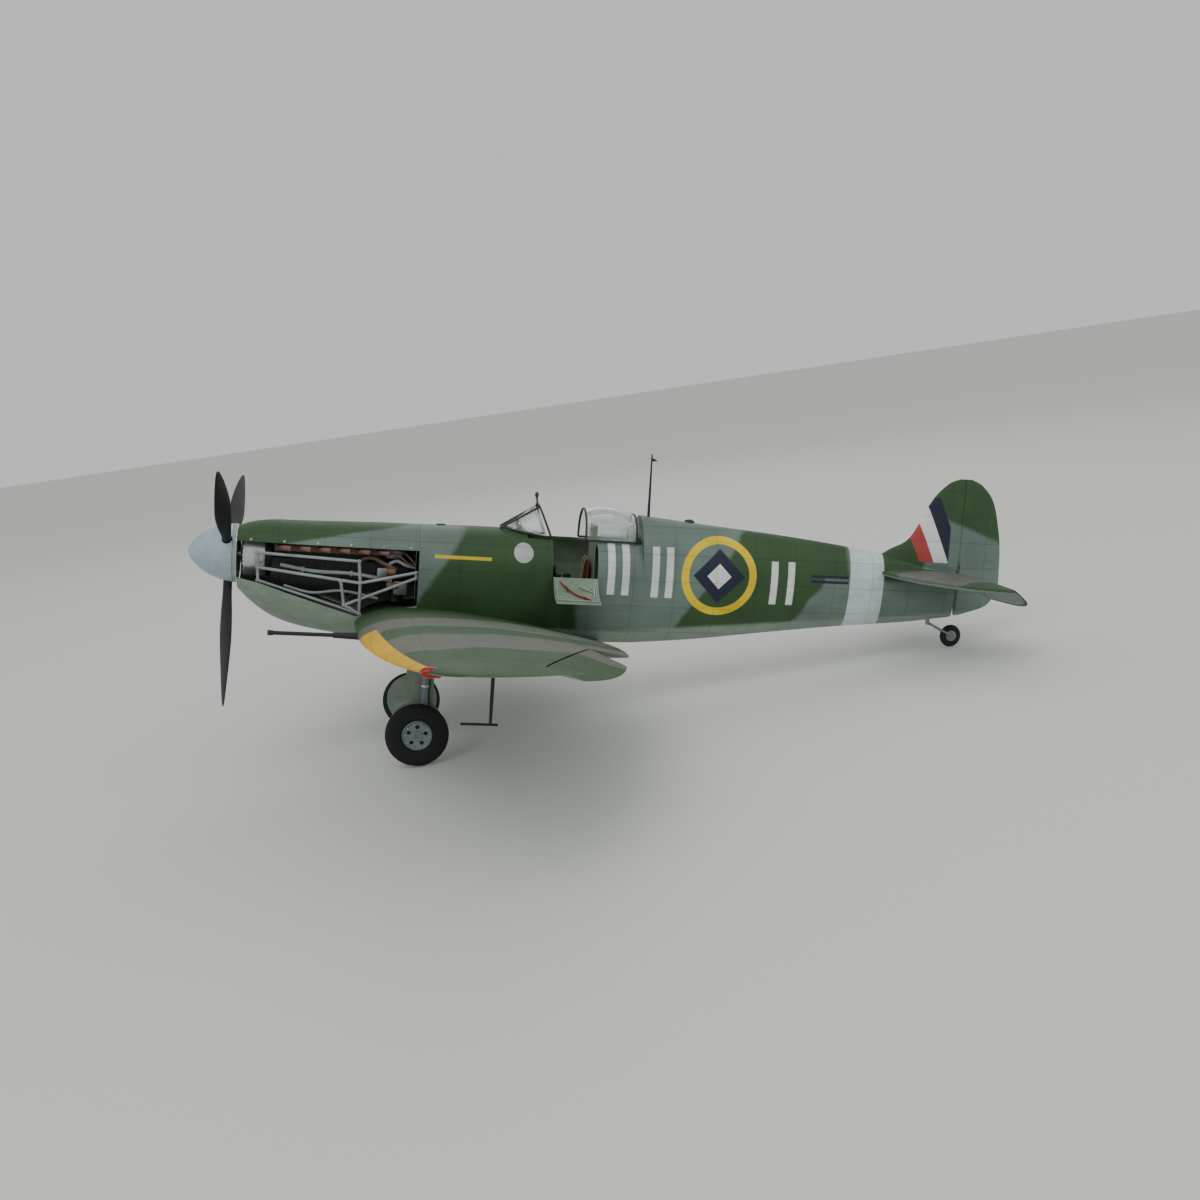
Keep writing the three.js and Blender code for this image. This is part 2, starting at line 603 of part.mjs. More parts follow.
function addPropeller() {
  const outer = turnedX([...SPINNER_PROFILE, [49.6, 0]]);
  const inner = turnedX([[SPINNER_WALL * 2, 0],
    ...SPINNER_PROFILE.slice(2).map(([x, r]) => [x + SPINNER_WALL, r - SPINNER_WALL]), [60, 0]]);
  const spin = new THREE.Group();
  spin.position.x = PROPELLER_X;
  airframe.add(spin);
  const bladeAngles = Array.from({ length: BLADES }, (_, i) => FIRST_BLADE_ANGLE + (360 / BLADES) * i);
  const ways = bladeAngles.map((angle) => point(0, -Math.sin(degrees(angle)), Math.cos(degrees(angle))));
  const middle = point(PROPELLER_X, 0, 0);
  const bores = ways.map((way) => rod(middle, middle.clone().addScaledVector(way, 40),
    BLADE_ROOT_RADIUS + 0.8, BLADE_ROOT_RADIUS + 0.8, 12));
  add("spinner", cut(outer, inner, ...bores), PAINT.spinner);
  const hub = turnedX([
    [PROPELLER_X - 8, 0], [PROPELLER_X - 8, HUB_RADIUS - 2], [PROPELLER_X - 6, HUB_RADIUS],
    [50, HUB_RADIUS], [50, SPINNER_RADIUS - 0.5], [51.6, SPINNER_RADIUS - 0.5], [51.6, SHAFT_RADIUS],
    [68, SHAFT_RADIUS], [68, 0],
  ]);
  add("propeller_hub", hub, PAINT.alloy);
  const rows = [
    [HUB_RADIUS + FIT_GAP + 0.4, 9.2, 9.2, 60], [SPINNER_RADIUS - 2, 9.2, 9.2, 60], [PROPELLER_RADIUS * 0.27, 12, 6.2, 50],
    [PROPELLER_RADIUS * 0.4, 18.5, 4.4, 42], [PROPELLER_RADIUS * 0.55, BLADE_CHORD, 3.4, 36],
    [PROPELLER_RADIUS * 0.7, 21.5, 2.6, 31], [PROPELLER_RADIUS * 0.84, 16.5, 2, 27],
    [PROPELLER_RADIUS * 0.94, 10, 1.6, 26], [PROPELLER_RADIUS, 2.6, 1.2, 24],
  ];
  const blade = loft(rows.map((row) => bladeRing(...row)));
  bladeAngles.forEach((angle, i) => {
    const mesh = add("blade_" + (i + 1), blade, PAINT.blade, spin);
    mesh.rotation.x = degrees(angle);
  });
}

// ---- Engine bay ----
const ENGINE_FRONT = COWL_FRONT + 34;
const ENGINE_REAR = FIREWALL - 30;
const BANK_ANGLE = 30;
const CRANK_Z = -8;

// A rectangle [u across, v outwards] in one cylinder bank's tilted frame, as [y, z] corners.
function bankOutline(side, u0, u1, v0, v1) {
  const [c, s] = [Math.cos(degrees(BANK_ANGLE)), Math.sin(degrees(BANK_ANGLE))];
  return [[u0, v0], [u1, v0], [u1, v1], [u0, v1]].map(([u, v]) => [side * (v * s + u * c), CRANK_Z + v * c - u * s]);
}

function addEngine() {
  const crankcase = frontPrism([
    [-10, -34], [10, -34], [15, -16], [12.9, -1.6], [0, 5.6], [-12.9, -1.6], [-15, -16],
  ], ENGINE_FRONT, ENGINE_REAR);
  const gearCase = turnedX([
    [COWL_FRONT + 6, 16.2], [COWL_FRONT + 6, 20], [COWL_FRONT + 9, 22], [COWL_FRONT + 28, 22],
    [ENGINE_FRONT + 1, 17], [ENGINE_FRONT + 1, 0], [ENGINE_FRONT - 4, 0], [ENGINE_FRONT - 4, 16.2],
    [COWL_FRONT + 6, 16.2],
  ], 28);
  const blower = rod(point(ENGINE_REAR - 2, 0, -9), point(ENGINE_REAR + 20, 0, -9), 21, 16, 22);
  const elbow = rod(point(ENGINE_REAR + 8, 0.1, -13), point(ENGINE_REAR + 8, 0.1, -44), 7.5, 7.5, 11);
  add("engine_block", join(crankcase, gearCase, blower, elbow), PAINT.dark);
  const motor = turnedX([
    [COWL_FRONT + 3, SHAFT_RADIUS + FIT_GAP], [COWL_FRONT + 3, 13], [COWL_FRONT + 5, 15.6], [ENGINE_FRONT - 5, 15.6],
    [ENGINE_FRONT - 5, 0], [COWL_FRONT + 18, 0], [COWL_FRONT + 18, SHAFT_RADIUS + FIT_GAP],
    [COWL_FRONT + 3, SHAFT_RADIUS + FIT_GAP],
  ], 28);
  add("drive_motor", motor, PAINT.alloy);
  for (const [name, side] of SIDES) {
    const head = frontPrism(bankOutline(side, -6.5, 6.5, 12.4, 30), ENGINE_FRONT + 2, ENGINE_REAR - 3);
    const cover = frontPrism(bankOutline(side, -5.4, 5.4, 29, 35.5), ENGINE_FRONT + 5, ENGINE_REAR - 6);
    add("cylinder_bank_" + name, join(head, cover), PAINT.dark);
    const rail = frontPrism(bankOutline(side, 6.9, 8.6, 20, 28), ENGINE_FRONT + 4, ENGINE_REAR - 5);
    const pitch = (ENGINE_REAR - ENGINE_FRONT - 22) / 5;
    const stubs = Array.from({ length: 6 }, (_, i) => {
      const x = ENGINE_FRONT + 9 + pitch * i;
      const elbowAt = point(x + 2, side * 30, 11);
      return join(
        rod(point(x, side * 20.6, 10), elbowAt, 2.6, 2.6, 6),
        rod(elbowAt.clone().add(point(-1, -side, 0)), point(x + 10, side * 34.5, 10.5), 2.4, 2.4, 6),
      );
    });
    add("exhaust_" + name, join(rail, ...stubs), PAINT.exhaust);
    add("engine_bearer_" + name, bearerSolid(side), PAINT.bearer);
  }
}

// One side of the welded tube frame that carries the engine from the firewall.
function bearerSolid(side) {
  const tube = 1.6;
  const at = (x, y, z) => point(x, side * y, z);
  const frontTop = at(COWL_FRONT + 21, 30, 4.4);
  const frontFoot = at(COWL_FRONT + 22, 26.5, -25);
  const rearTop = at(FIREWALL - 62, 36, 1);
  const rearMiddle = at(FIREWALL - 60, 35.5, -22);
  const rearFoot = at(FIREWALL - 60, 24.5, -56);
  const wallTop = at(FIREWALL - 2.2, 37, -8);
  const wallFoot = at(FIREWALL - 2.2, 36, -14);
  const lower = at(FIREWALL - 76, 27, -47);
  return join(
    rod(frontTop, frontFoot, tube, tube, 6),
    rod(frontTop, rearTop, tube, tube, 6),
    rod(rearTop, rearMiddle, tube, tube, 6),
    rod(rearMiddle, rearFoot, tube, tube, 6),
    rod(frontFoot, rearFoot, tube, tube, 6),
    rod(rearMiddle, wallTop, tube, tube, 6),
    rod(lower, wallFoot, tube, tube, 6),
    rod(wallTop, wallFoot, tube, tube, 6),
    rod(at(COWL_FRONT + 21.5, 29, -11), rearMiddle, tube, tube, 6),
    rod(at(FIREWALL - 80, 34.5, -21), lower, tube, tube, 6),
    rod(lower, rearFoot, tube, tube, 6),
  );
}

// ---- Wings and what they carry ----
const CANNON_Y = 210;
const PITOT_DROP = 50;

function addWings() {
  for (const [name, side] of SIDES) {
    const full = wingLoft(side);
    const normal = point(0, 0, 1);
    const [aileron, afterAileron] = splitSurface(full, aileronLine(side), normal, CONTROL_END_GAP);
    const [flap, afterFlap] = splitSurface(afterAileron, flapLine(side), normal, CONTROL_END_GAP);
    const barrel = wingSkin(wingAt(CANNON_Y).lead, CANNON_Y).middle;
    const tip = WING_ROOT_LEAD - 77;
    const muzzle = point(tip, side * CANNON_Y, barrel);
    const root = point(wingAt(CANNON_Y).lead + 12, side * CANNON_Y, barrel);
    const socket = rod(muzzle, root.clone().add(point(FIT_GAP, 0, 0)), 4 + FIT_GAP, 4 + FIT_GAP, 16);
    add("wing_" + name, mainBody(cut(afterFlap, wheelWell(side), socket)), PAINT.grey);

    const line = aileronLine(side);
    const axis = new THREE.Vector3().subVectors(line.at(-1).at, line[0].at);
    // Both hinge lines run outboard, so the drooped port surface and the raised starboard one turn alike.
    add("aileron_" + name, aileron, PAINT.grey, turnedGroup(line[0].at, axis, -AILERON_DROOP));
    add("flap_" + name, flap, PAINT.grey);

    const fairing = rod(point(root.x - 34, side * CANNON_Y, barrel), root, 2.6, 4, 14);
    add("cannon_" + name, join(rod(muzzle, root, 1.9, 1.9, 12), fairing,
      rod(muzzle, muzzle.clone().add(point(5, 0, 0)), 2.5, 2.5, 12)), PAINT.dark);
  }
  addCoolers();
  const pitot = point(LEG_X + 37, -390, 0);
  const foot = wingSkin(pitot.x, 390);
  const head = foot.middle - foot.half - PITOT_DROP;
  add("pitot_tube", join(
    rod(pitot.clone().setZ(foot.middle - foot.half - FIT_GAP), pitot.clone().setZ(head), 1.7, 1.3, 8),
    rod(point(pitot.x - 24, -390, head), point(pitot.x + 6, -390, head), 1.1, 1.1, 8),
  ), PAINT.dark);
}

// A round duct under the port wing and a square one under the starboard wing, both open right through.
function addCoolers() {
  const [front, rear] = [LEG_X + 36, LEG_X + 96];
  const wall = 1.4;
  const duct = (halfWidth, depth, y, inset) => {
    const stations = [[front, 0.86], [front + 12, 1], [rear - 18, 0.95], [rear, 0.7]];
    return loft(stations.map(([x, size]) => Array.from({ length: 20 }, (_, i) => {
      const angle = (2 * Math.PI * i) / 20;
      const stretch = x === front ? -1 : x === rear ? 1 : 0;
      return point(x + stretch * inset, y + (halfWidth * size - inset) * Math.cos(angle),
        wingSkin(front + 20, Math.abs(y)).middle + (depth * size - inset) * Math.sin(angle));
    })));
  };
  const round = cut(duct(15, 45, -128, 0), duct(15, 45, -128, wall), aboveWing(-1));
  add("oil_cooler", mainBody(round), PAINT.underside);
  const y0 = 104;
  const y1 = 156;
  const outline = (inset) => [
    [front - inset, 0], [front - inset, -94 + inset],
    [rear + inset, -84 + inset], [rear + inset, 0],
  ];
  const channel = sidePrism(outline(wall), y0 + wall, y1 - wall);
  const square = cut(sidePrism(outline(0), y0, y1), channel, aboveWing(1));
  add("radiator", mainBody(square), PAINT.underside);
}

// ---- Tail ----
// Rows of [height, leading edge, trailing edge], both from the stern.
const TAIL_SHAPE = [
  [-31, -30, 9], [-26, -30, 24], [-19, -30, 42], [-6, -30, 52], [6, -30, 56], [24, -100, 55.5], [41, -84, 54.5],
  [51, -65, 53.5], [61, -56, 52], [76, -48, 48.5], [93, -40, 44], [106, -32, 38.5], [116, -23, 30.5],
  [123.5, -13.5, 21], [FIN_HEIGHT - 0.6, -3, 11],
];
const TAIL_SHARES = [1, 0.8, 0.6, 0.4, 0.24, 0.11, 0.03];

// A symmetric section's ring, its halves along the given normal.
function evenRing(lead, trail, thickness, place) {
  const chord = trail - lead;
  const half = (share) => foilHalf(share, thickness) * chord + FOIL_EDGE;
  const upper = TAIL_SHARES.map((share) => place(lead + share * chord, half(share)));
  const lower = TAIL_SHARES.toReversed().map((share) => place(lead + share * chord, -half(share)));
  return [...upper, place(lead, 0), ...lower];
}

function tailplaneRing(side, outboard) {
  const share = outboard / TAILPLANE_HALF_SPAN;
  const tip = ELEVATOR_HINGE_X + 3;
  const lead = tip - TAILPLANE_CHORD * (1 - share ** 2.2) ** 0.5;
  const trail = tip + (ELEVATOR_CHORD - 3) * (1 - share ** 4.5) ** 0.5;
  return evenRing(lead, trail, TAIL_THICKNESS, (x, n) => point(x, side * outboard, TAILPLANE_Z + n));
}

function addTail() {
  const body = join(
    bodyLoft(AFT_ROWS, CABIN_REAR, STERN, 13, FIT_GAP),
    bodyLoft(AFT_ROWS, STERN - 1, STERN + FIT_GAP, 2, FIT_GAP),
  );
  const full = loft(TAIL_SHAPE.map(([z, lead, trail]) => {
    return evenRing(STERN + lead, STERN + trail, TAIL_THICKNESS, (x, n) => point(x, n, z));
  }));
  const hingeHalf = (z) => {
    const [lead, trail] = keyed(TAIL_SHAPE, z);
    const chord = trail - lead;
    return foilHalf((RUDDER_HINGE_X - STERN - lead) / chord, TAIL_THICKNESS) * chord + FOIL_EDGE;
  };
  // Beside the fuselage the rudder's nose is small enough to turn in front of the stern.
  const rudderLine = [-40, 0, 28, 31, 60, 90, 110, FIN_HEIGHT + 5].map((z) => ({
    at: point(RUDDER_HINGE_X, 0, z),
    radius: Math.min(hingeHalf(z), z < 30 ? 3.6 : 9),
  }));
  const rudder = full.intersect(hingeTool(rudderLine, point(0, 1, 0), 0));
  const fin = cut(full, hingeTool(rudderLine, point(0, 1, 0), CONTROL_NOSE_GAP), body);
  add("rudder", mainBody(rudder), PAINT.grey);
  // The fin ends above the stern, clear of the rudder's shoulders as they swing.
  const shoulders = block(RUDDER_HINGE_X - 3.5, 1000, -50, 50, -100, 31.5);
  add("fin", mainBody(cut(fin, block(0, 1000, -50, 50, -100, 25), shoulders)), PAINT.green);

  const joiner = [-12, 12].map((y) => point(ELEVATOR_HINGE_X, y, TAILPLANE_Z));
  const halves = [rod(joiner[0], joiner[1], JOINER_RADIUS, JOINER_RADIUS, 10)];
  for (const [name, side] of SIDES) {
    const inner = 8.5;
    // The hinge line runs on past the tip, so that the whole trailing part turns.
    const outer = TAILPLANE_HALF_SPAN + 3;
    const reach = TAILPLANE_HALF_SPAN * 0.998 - 0.5;
    const outboards = spaced(0, Math.PI / 2, 10).map((turn) => 0.5 + reach * Math.sin(turn));
    const plane = loft(outboards.map((outboard) => tailplaneRing(side, outboard)));
    const half = (outboard) => {
      const ring = tailplaneRing(side, Math.min(outboard, TAILPLANE_HALF_SPAN * 0.97));
      const lead = ring[TAIL_SHARES.length].x;
      const chord = ring[0].x - lead;
      return foilHalf((ELEVATOR_HINGE_X - lead) / chord, TAIL_THICKNESS) * chord + FOIL_EDGE;
    };
    const line = spaced(inner - 1, outer, 5).map((y) => {
      return { at: point(ELEVATOR_HINGE_X, side * y, TAILPLANE_Z), radius: half(y) };
    });
    const [elevator, rest] = splitSurface(plane, line, point(0, 0, 1), 1);
    const rudderRoom = new THREE.Shape([[0, 0], [ELEVATOR_CHORD + 30, 0], [ELEVATOR_CHORD + 30, 48], [3, inner]]
      .map(([x, y]) => new THREE.Vector2(ELEVATOR_HINGE_X + x, side * y)));
    const room = solid(new THREE.ExtrudeGeometry(rudderRoom, { depth: 40, bevelEnabled: false }));
    halves.push(cut(elevator, room));
    const joinerFront = ELEVATOR_HINGE_X - JOINER_RADIUS - CONTROL_NOSE_GAP;
    const behind = block(joinerFront, STERN + 100, ...across(side, 0, inner + 2), 0, 40);
    add("tailplane_" + name, mainBody(cut(rest, body, behind)), PAINT.green);
  }
  const hinge = point(ELEVATOR_HINGE_X, 0, TAILPLANE_Z);
  add("elevators", join(...halves), PAINT.grey, turnedGroup(hinge, point(0, 1, 0), ELEVATOR_DROOP));
}

// ---- Cockpit ----
// A hood's ring of half an ellipse over the deck, at one station.
function hoodRing(x, halfWidth, base, top) {
  const sides = 16;
  const arch = spaced(0, Math.PI, sides).map((angle) => {
    return point(x, halfWidth * Math.cos(angle), base + (top - base) * Math.sin(angle) ** 0.8);
  });
  return arch;
}

// A thin hood open below and at both ends.
function hoodShell(rows, wall) {
  const outer = loft(rows.map(([x, half, base, top]) => hoodRing(x, half, base, top)));
  const last = rows.length - 1;
  const inner = loft(rows.map(([x, half, base, top], i) => {
    const stretch = i === 0 ? -1 : i === last ? 1 : 0;
    return hoodRing(x + stretch, half - wall, base - wall, top - wall);
  }));
  return cut(outer, inner);
}

// A round bar bent along a smooth curve through the points.
function bentBar(points, radius, steps = points.length - 1) {
  const section = new THREE.Shape(spaced(0, 2 * Math.PI, 7).slice(1)
    .map((angle) => new THREE.Vector2(radius * Math.cos(angle), radius * Math.sin(angle))));
  const extrudePath = new THREE.CatmullRomCurve3(points);
  return solid(new THREE.ExtrudeGeometry(section, { steps, extrudePath, bevelEnabled: false }));
}

function addWindscreen() {
  const lift = FRAME_ROD + 1.2;
  const deck = (x, y) => point(x, y, deckHeight(x, Math.abs(y)) + lift);
  const top = [WINDSCREEN_FRONT + 38, 71];
  const archAt = (side, t) => {
    const foot = deck(ARCH_X, 26);
    const angle = (t * Math.PI) / 2;
    return point(foot.x + (top[0] - foot.x) * Math.sin(angle), side * foot.y * Math.cos(angle) ** 0.8,
      foot.z + (top[1] - foot.z) * Math.sin(angle));
  };
  const arch = [
    ...spaced(0, 1, 6).map((t) => archAt(-1, t)),
    ...spaced(1, 0, 6).slice(1).map((t) => archAt(1, t)),
  ];
  const rods = [bentBar(arch, FRAME_ROD)];
  for (const side of [-1, 1]) {
    const foot = deck(WINDSCREEN_FRONT, side * 10);
    rods.push(bentBar([foot, archAt(side, 0.72)], FRAME_ROD));
    rods.push(bentBar([foot, deck(WINDSCREEN_FRONT + 26, side * 21), archAt(side, 0)], FRAME_ROD));
  }
  rods.push(bentBar([deck(WINDSCREEN_FRONT, -10), deck(WINDSCREEN_FRONT, 10)], FRAME_ROD));
  const crown = archAt(1, 1);
  rods.push(rod(crown, crown.clone().add(point(-1, 0, 8)), 0.8, 0.8, 8));
  rods.push(solid(new THREE.SphereGeometry(3, 14, 8).scale(0.6, 1.5, 1).translate(crown.x - 1, 0, crown.z + 9)));
  add("windscreen_frame", join(...rods), PAINT.green);

  const corners = (inset) => {
    const shrink = FRAME_ROD + 1.3 + inset;
    const points = [];
    for (const side of [-1, 1]) {
      const low = (x, y) => deck(x, side * (y - shrink)).add(point(0, 0, -lift + 0.5 - 4 * Math.min(inset, 1)));
      points.push(low(WINDSCREEN_FRONT + 3 + inset * 2, 10), low(WINDSCREEN_FRONT + 26, 21));
      points.push(low(ARCH_X - 3 + 4 * inset, 26));
      for (const t of [0.25, 0.5, 0.72, 0.9]) {
        const at = archAt(side, t);
        points.push(point(at.x - 2.6 + 4 * inset, at.y - side * shrink * Math.cos((t * Math.PI) / 2), at.z - shrink));
      }
    }
    return solid(new ConvexGeometry(points));
  };
  const deckTool = bodyLoft(FRONT_ROWS, WINDSCREEN_FRONT - 10, CABIN_REAR, 6, FIT_GAP);
  add("windscreen_glass", mainBody(cut(corners(0), corners(GLASS_WALL), deckTool)), PAINT.glass);
}

function addCanopy() {
  const rear = CANOPY_FRONT + CANOPY_LENGTH;
  const rows = [
    [CANOPY_FRONT + 2.4, CANOPY_HALF_WIDTH - 0.4, CANOPY_BASE + 2.2, CANOPY_TOP - 3.8],
    [CANOPY_FRONT + 16, CANOPY_HALF_WIDTH, CANOPY_BASE + 2.2, CANOPY_TOP - 0.6],
    [CANOPY_FRONT + 30, CANOPY_HALF_WIDTH, CANOPY_BASE + 2.2, CANOPY_TOP],
    [CANOPY_FRONT + 44, CANOPY_HALF_WIDTH - 0.3, CANOPY_BASE + 2.2, CANOPY_TOP - 3],
    [rear - 2.4, CANOPY_HALF_WIDTH - 0.8, CANOPY_BASE + 2.2, CANOPY_TOP - 7.2],
  ];
  add("canopy_glass", hoodShell(rows, GLASS_WALL), PAINT.glass);
  const hoop = (x, top) => hoodRing(x, CANOPY_HALF_WIDTH - 0.4, CANOPY_BASE + FRAME_ROD, top);
  const frontHoop = hoop(CANOPY_FRONT + 1, CANOPY_TOP - 4);
  const rearHoop = hoop(rear - 1, CANOPY_TOP - 7.4);
  const rails = [0, frontHoop.length - 1].map((i) => bentBar([frontHoop[i], rearHoop[i]], FRAME_ROD));
  const hoops = [bentBar(frontHoop, FRAME_ROD), bentBar(rearHoop, FRAME_ROD)];
  add("canopy_frame", join(...hoops, ...rails), PAINT.green);

  const inset = 3.4;
  const fixed = [
    [CANOPY_FRONT + 17, CANOPY_HALF_WIDTH - inset, CANOPY_BASE - 2.4, CANOPY_TOP - 10.4],
    [CANOPY_FRONT + 40, CANOPY_HALF_WIDTH - inset, CANOPY_BASE - 2.4, CANOPY_TOP - 10.8],
    [CABIN_REAR - FIT_GAP, CANOPY_HALF_WIDTH - inset, CANOPY_BASE - 2.4, CANOPY_TOP - 13],
  ];
  add("rear_glass", hoodShell(fixed, GLASS_WALL), PAINT.glass);
}

function addCockpit() {
  const front = COCKPIT_FRONT - 2;
  const bulkhead = CABIN_REAR - 50;
  const half = COCKPIT_HALF_WIDTH - 2.5;
  const floor = -40;
  const shelf = CANOPY_BASE - 5;
  add("cockpit_tub", join(
    block(front, bulkhead, -half, half, floor, floor + 1.5),
    block(bulkhead - 1.5, bulkhead, -half, half, floor, shelf + 22),
    block(bulkhead - 1, CABIN_REAR - 2, -half - 1, half + 1, shelf, shelf + 1.5),
    block(front, bulkhead, half - 6, half, floor, floor + 26),
    block(front, bulkhead - DOOR_LENGTH - 1, -half, -half + 6, floor, floor + 26),
  ), PAINT.interior);
  add("seat", join(
    block(bulkhead - 34, bulkhead - 6, -13, 13, floor + 12, floor + 14),
    block(bulkhead - 8, bulkhead - 5, -13, 13, floor + 12, floor + 52),
    block(bulkhead - 30, bulkhead - 6, -14.5, -12.5, floor + 12, floor + 22),
    block(bulkhead - 30, bulkhead - 6, 12.5, 14.5, floor + 12, floor + 22),
    block(bulkhead - 26, bulkhead - 10, -8, 8, floor + 1.5 + FIT_GAP, floor + 13),
  ), PAINT.seat);
  add("instrument_panel", join(
    frontPrism([[-22, -8], [22, -8], [22, 22], [14, 33], [-14, 33], [-22, 22]], front + 3, front + 5),
    block(front + 3, front + 12, -3, 3, 32, 38),
  ), PAINT.electronics);
  add("control_stick", join(
    rod(point(front + 32, 0, floor + 1.5 + FIT_GAP), point(front + 36, 0, floor + 34), 1.4, 1.2, 8),
    solid(new THREE.TorusGeometry(4.5, 1.1, 8, 16).rotateY(Math.PI / 2).translate(front + 36.5, 0, floor + 38.5)),
  ), PAINT.electronics);

  const skin = cut(
    bodyLoft(FRONT_ROWS, FIREWALL, CABIN_REAR, 9, 0),
    bodyLoft(FRONT_ROWS, FIREWALL - 1, CABIN_REAR + 1, 9, -SHELL_WALL),
  );
  const gap = 0.5;
  const panel = skin.intersect(block(DOOR_FRONT + gap, DOOR_FRONT + DOOR_LENGTH - gap, -60, -COCKPIT_HALF_WIDTH,
    DOOR_SILL_Z + gap, 60));
  const [, , halfWidth, widest] = keyed(FRONT_ROWS, DOOR_FRONT + DOOR_LENGTH / 2);
  const sillY = -halfWidth * Math.sqrt(1 - ((DOOR_SILL_Z - widest) / 80) ** 2);
  const hinge = point(DOOR_FRONT, sillY - 0.9, DOOR_SILL_Z - 0.2);
  add("cockpit_door", panel, PAINT.interior, turnedGroup(hinge, point(1, 0, 0), DOOR_OPEN_ANGLE));
  const mast = CABIN_REAR + 10;
  add("aerial_mast", join(
    rod(point(mast, 0, 58), point(mast - 1, 0, 132), 1.7, 0.8, 10),
    sidePrism([[mast - 1, 124], [mast + 6.5, 125], [mast - 1, 128.5]], -0.5, 0.5),
  ), PAINT.dark);
}

// ---- Radio gear ----
function addRadioGear() {
  const wingTop = wingSkin(FIREWALL + 20, 0);
  const deck = wingTop.middle + wingTop.half + 2;
  add("battery", block(FIREWALL + 8, FIREWALL + 108, -17, 17, deck, deck + 24), PAINT.battery);
  add("speed_controller", block(FIREWALL + 20, FIREWALL + 74, -13, 13, deck + 24.3, deck + 33), PAINT.electronics);
  add("receiver", block(CABIN_REAR - 38, CABIN_REAR + 4, -11, 11, -68, -56), PAINT.electronics);
  const servo = (name, y) => {
    const x = CABIN_REAR + 16;
    add(name, join(
      block(x, x + 23, y - 6, y + 6, -62, -43),
      block(x - 4.5, x + 27.5, y - 6, y + 6, -53, -51),
      rod(point(x + 6, y, -44), point(x + 6, y, -38), 3, 3, 12),
      block(x + 3, x + 9, y - 4, y + 4, -39, -37),
    ), PAINT.electronics);
  };
  servo("elevator_servo", -8.5);
  servo("rudder_servo", 8.5);
}

// ---- Landing gear ----
function addLandingGear() {
  for (const [name, side] of SIDES) {
    add("gear_leg_" + name, legSolid(side), PAINT.hub);
    add("gear_fairing_" + name, fairingSolid(side, 0, FAIRING_Y - FAIRING_WALL, FAIRING_Y), PAINT.underside);
    const tyre = tyreSolid(side, MAIN_AXLE_X, MAIN_AXLE_Z, TYRE_RADIUS, TYRE_WIDTH, HUB_RIM_RADIUS);
    add("tyre_" + name, tyre, PAINT.rubber);
    add("hub_" + name, hubSolid(side), PAINT.hub);
  }
  const cheek = TAIL_WHEEL_WIDTH / 2 + 1.4;
  const crown = point(TAIL_STEER_X + 3, 0, TAIL_AXLE_Z + 13);
  const arms = [-cheek, cheek].map((y) => join(
    rod(crown.clone().setY(y), point(TAIL_AXLE_X, y, TAIL_AXLE_Z), 1.3, 1.3, 8),
    rod(crown, crown.clone().setY(y), 1.3, 1.3, 8),
  ));
  add("tail_wheel_fork", join(
    rod(point(TAIL_STEER_X, 0, -30), point(TAIL_STEER_X, 0, TAIL_AXLE_Z + 12), 2.4, 2.4, 12),
    rod(point(TAIL_STEER_X, 0, TAIL_AXLE_Z + 13), crown, 1.8, 1.8, 8),
    ...arms,
    rod(point(TAIL_AXLE_X, -cheek, TAIL_AXLE_Z), point(TAIL_AXLE_X, cheek, TAIL_AXLE_Z), 1, 1, 8),
  ), PAINT.hub);
  const half = TAIL_WHEEL_WIDTH / 2;
  const wheel = turnedY([
    [-half * 0.8, 1.3], [-half, 7], [-half, 10.5], [0, TAIL_WHEEL_RADIUS],
    [half, 10.5], [half, 7], [half * 0.8, 1.3], [-half * 0.8, 1.3],
  ], 24);
  add("tail_wheel", solid(geometryOf(wheel).translate(TAIL_AXLE_X, 0, TAIL_AXLE_Z)), PAINT.rubber);
}

addFuselage();
addCowlings();
addPropeller();
addEngine();
addWings();
addTail();
addWindscreen();
addCanopy();
addCockpit();
addRadioGear();
addLandingGear();

// The nose-up attitude that puts both main wheels and the tail wheel on the ground.
const wheelBase = TAIL_AXLE_X - MAIN_AXLE_X;
const wheelRise = TAIL_AXLE_Z - MAIN_AXLE_Z;
const attitude = Math.atan2(wheelRise, wheelBase)
  + Math.asin((TYRE_RADIUS - TAIL_WHEEL_RADIUS) / Math.hypot(wheelBase, wheelRise));
airframe.rotation.y = attitude;
const part = new THREE.Group();
part.add(airframe);
part.updateMatrixWorld(true);
const extent = new THREE.Box3().setFromObject(part, true);
const middle = extent.getCenter(new THREE.Vector3());
airframe.position.set(-middle.x, -middle.y, -extent.min.z);

export default part;
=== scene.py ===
"""Finish for a radio-controlled scale model of a single-seat piston fighter.

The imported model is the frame. Skins, controls, propeller, tyres, glazing and small fittings are
worked out here as parametric surfaces in the aircraft's own datum (millimetres, x aft from the
spinner's tip, y to starboard, z up from the thrust line) and then set into the frame.
"""
import json
import math

import bmesh
import bpy
import numpy as np
from bpy.props import FloatProperty, FloatVectorProperty, PointerProperty
from bpy.types import Operator, Panel, PropertyGroup
from mathutils import Matrix, Vector

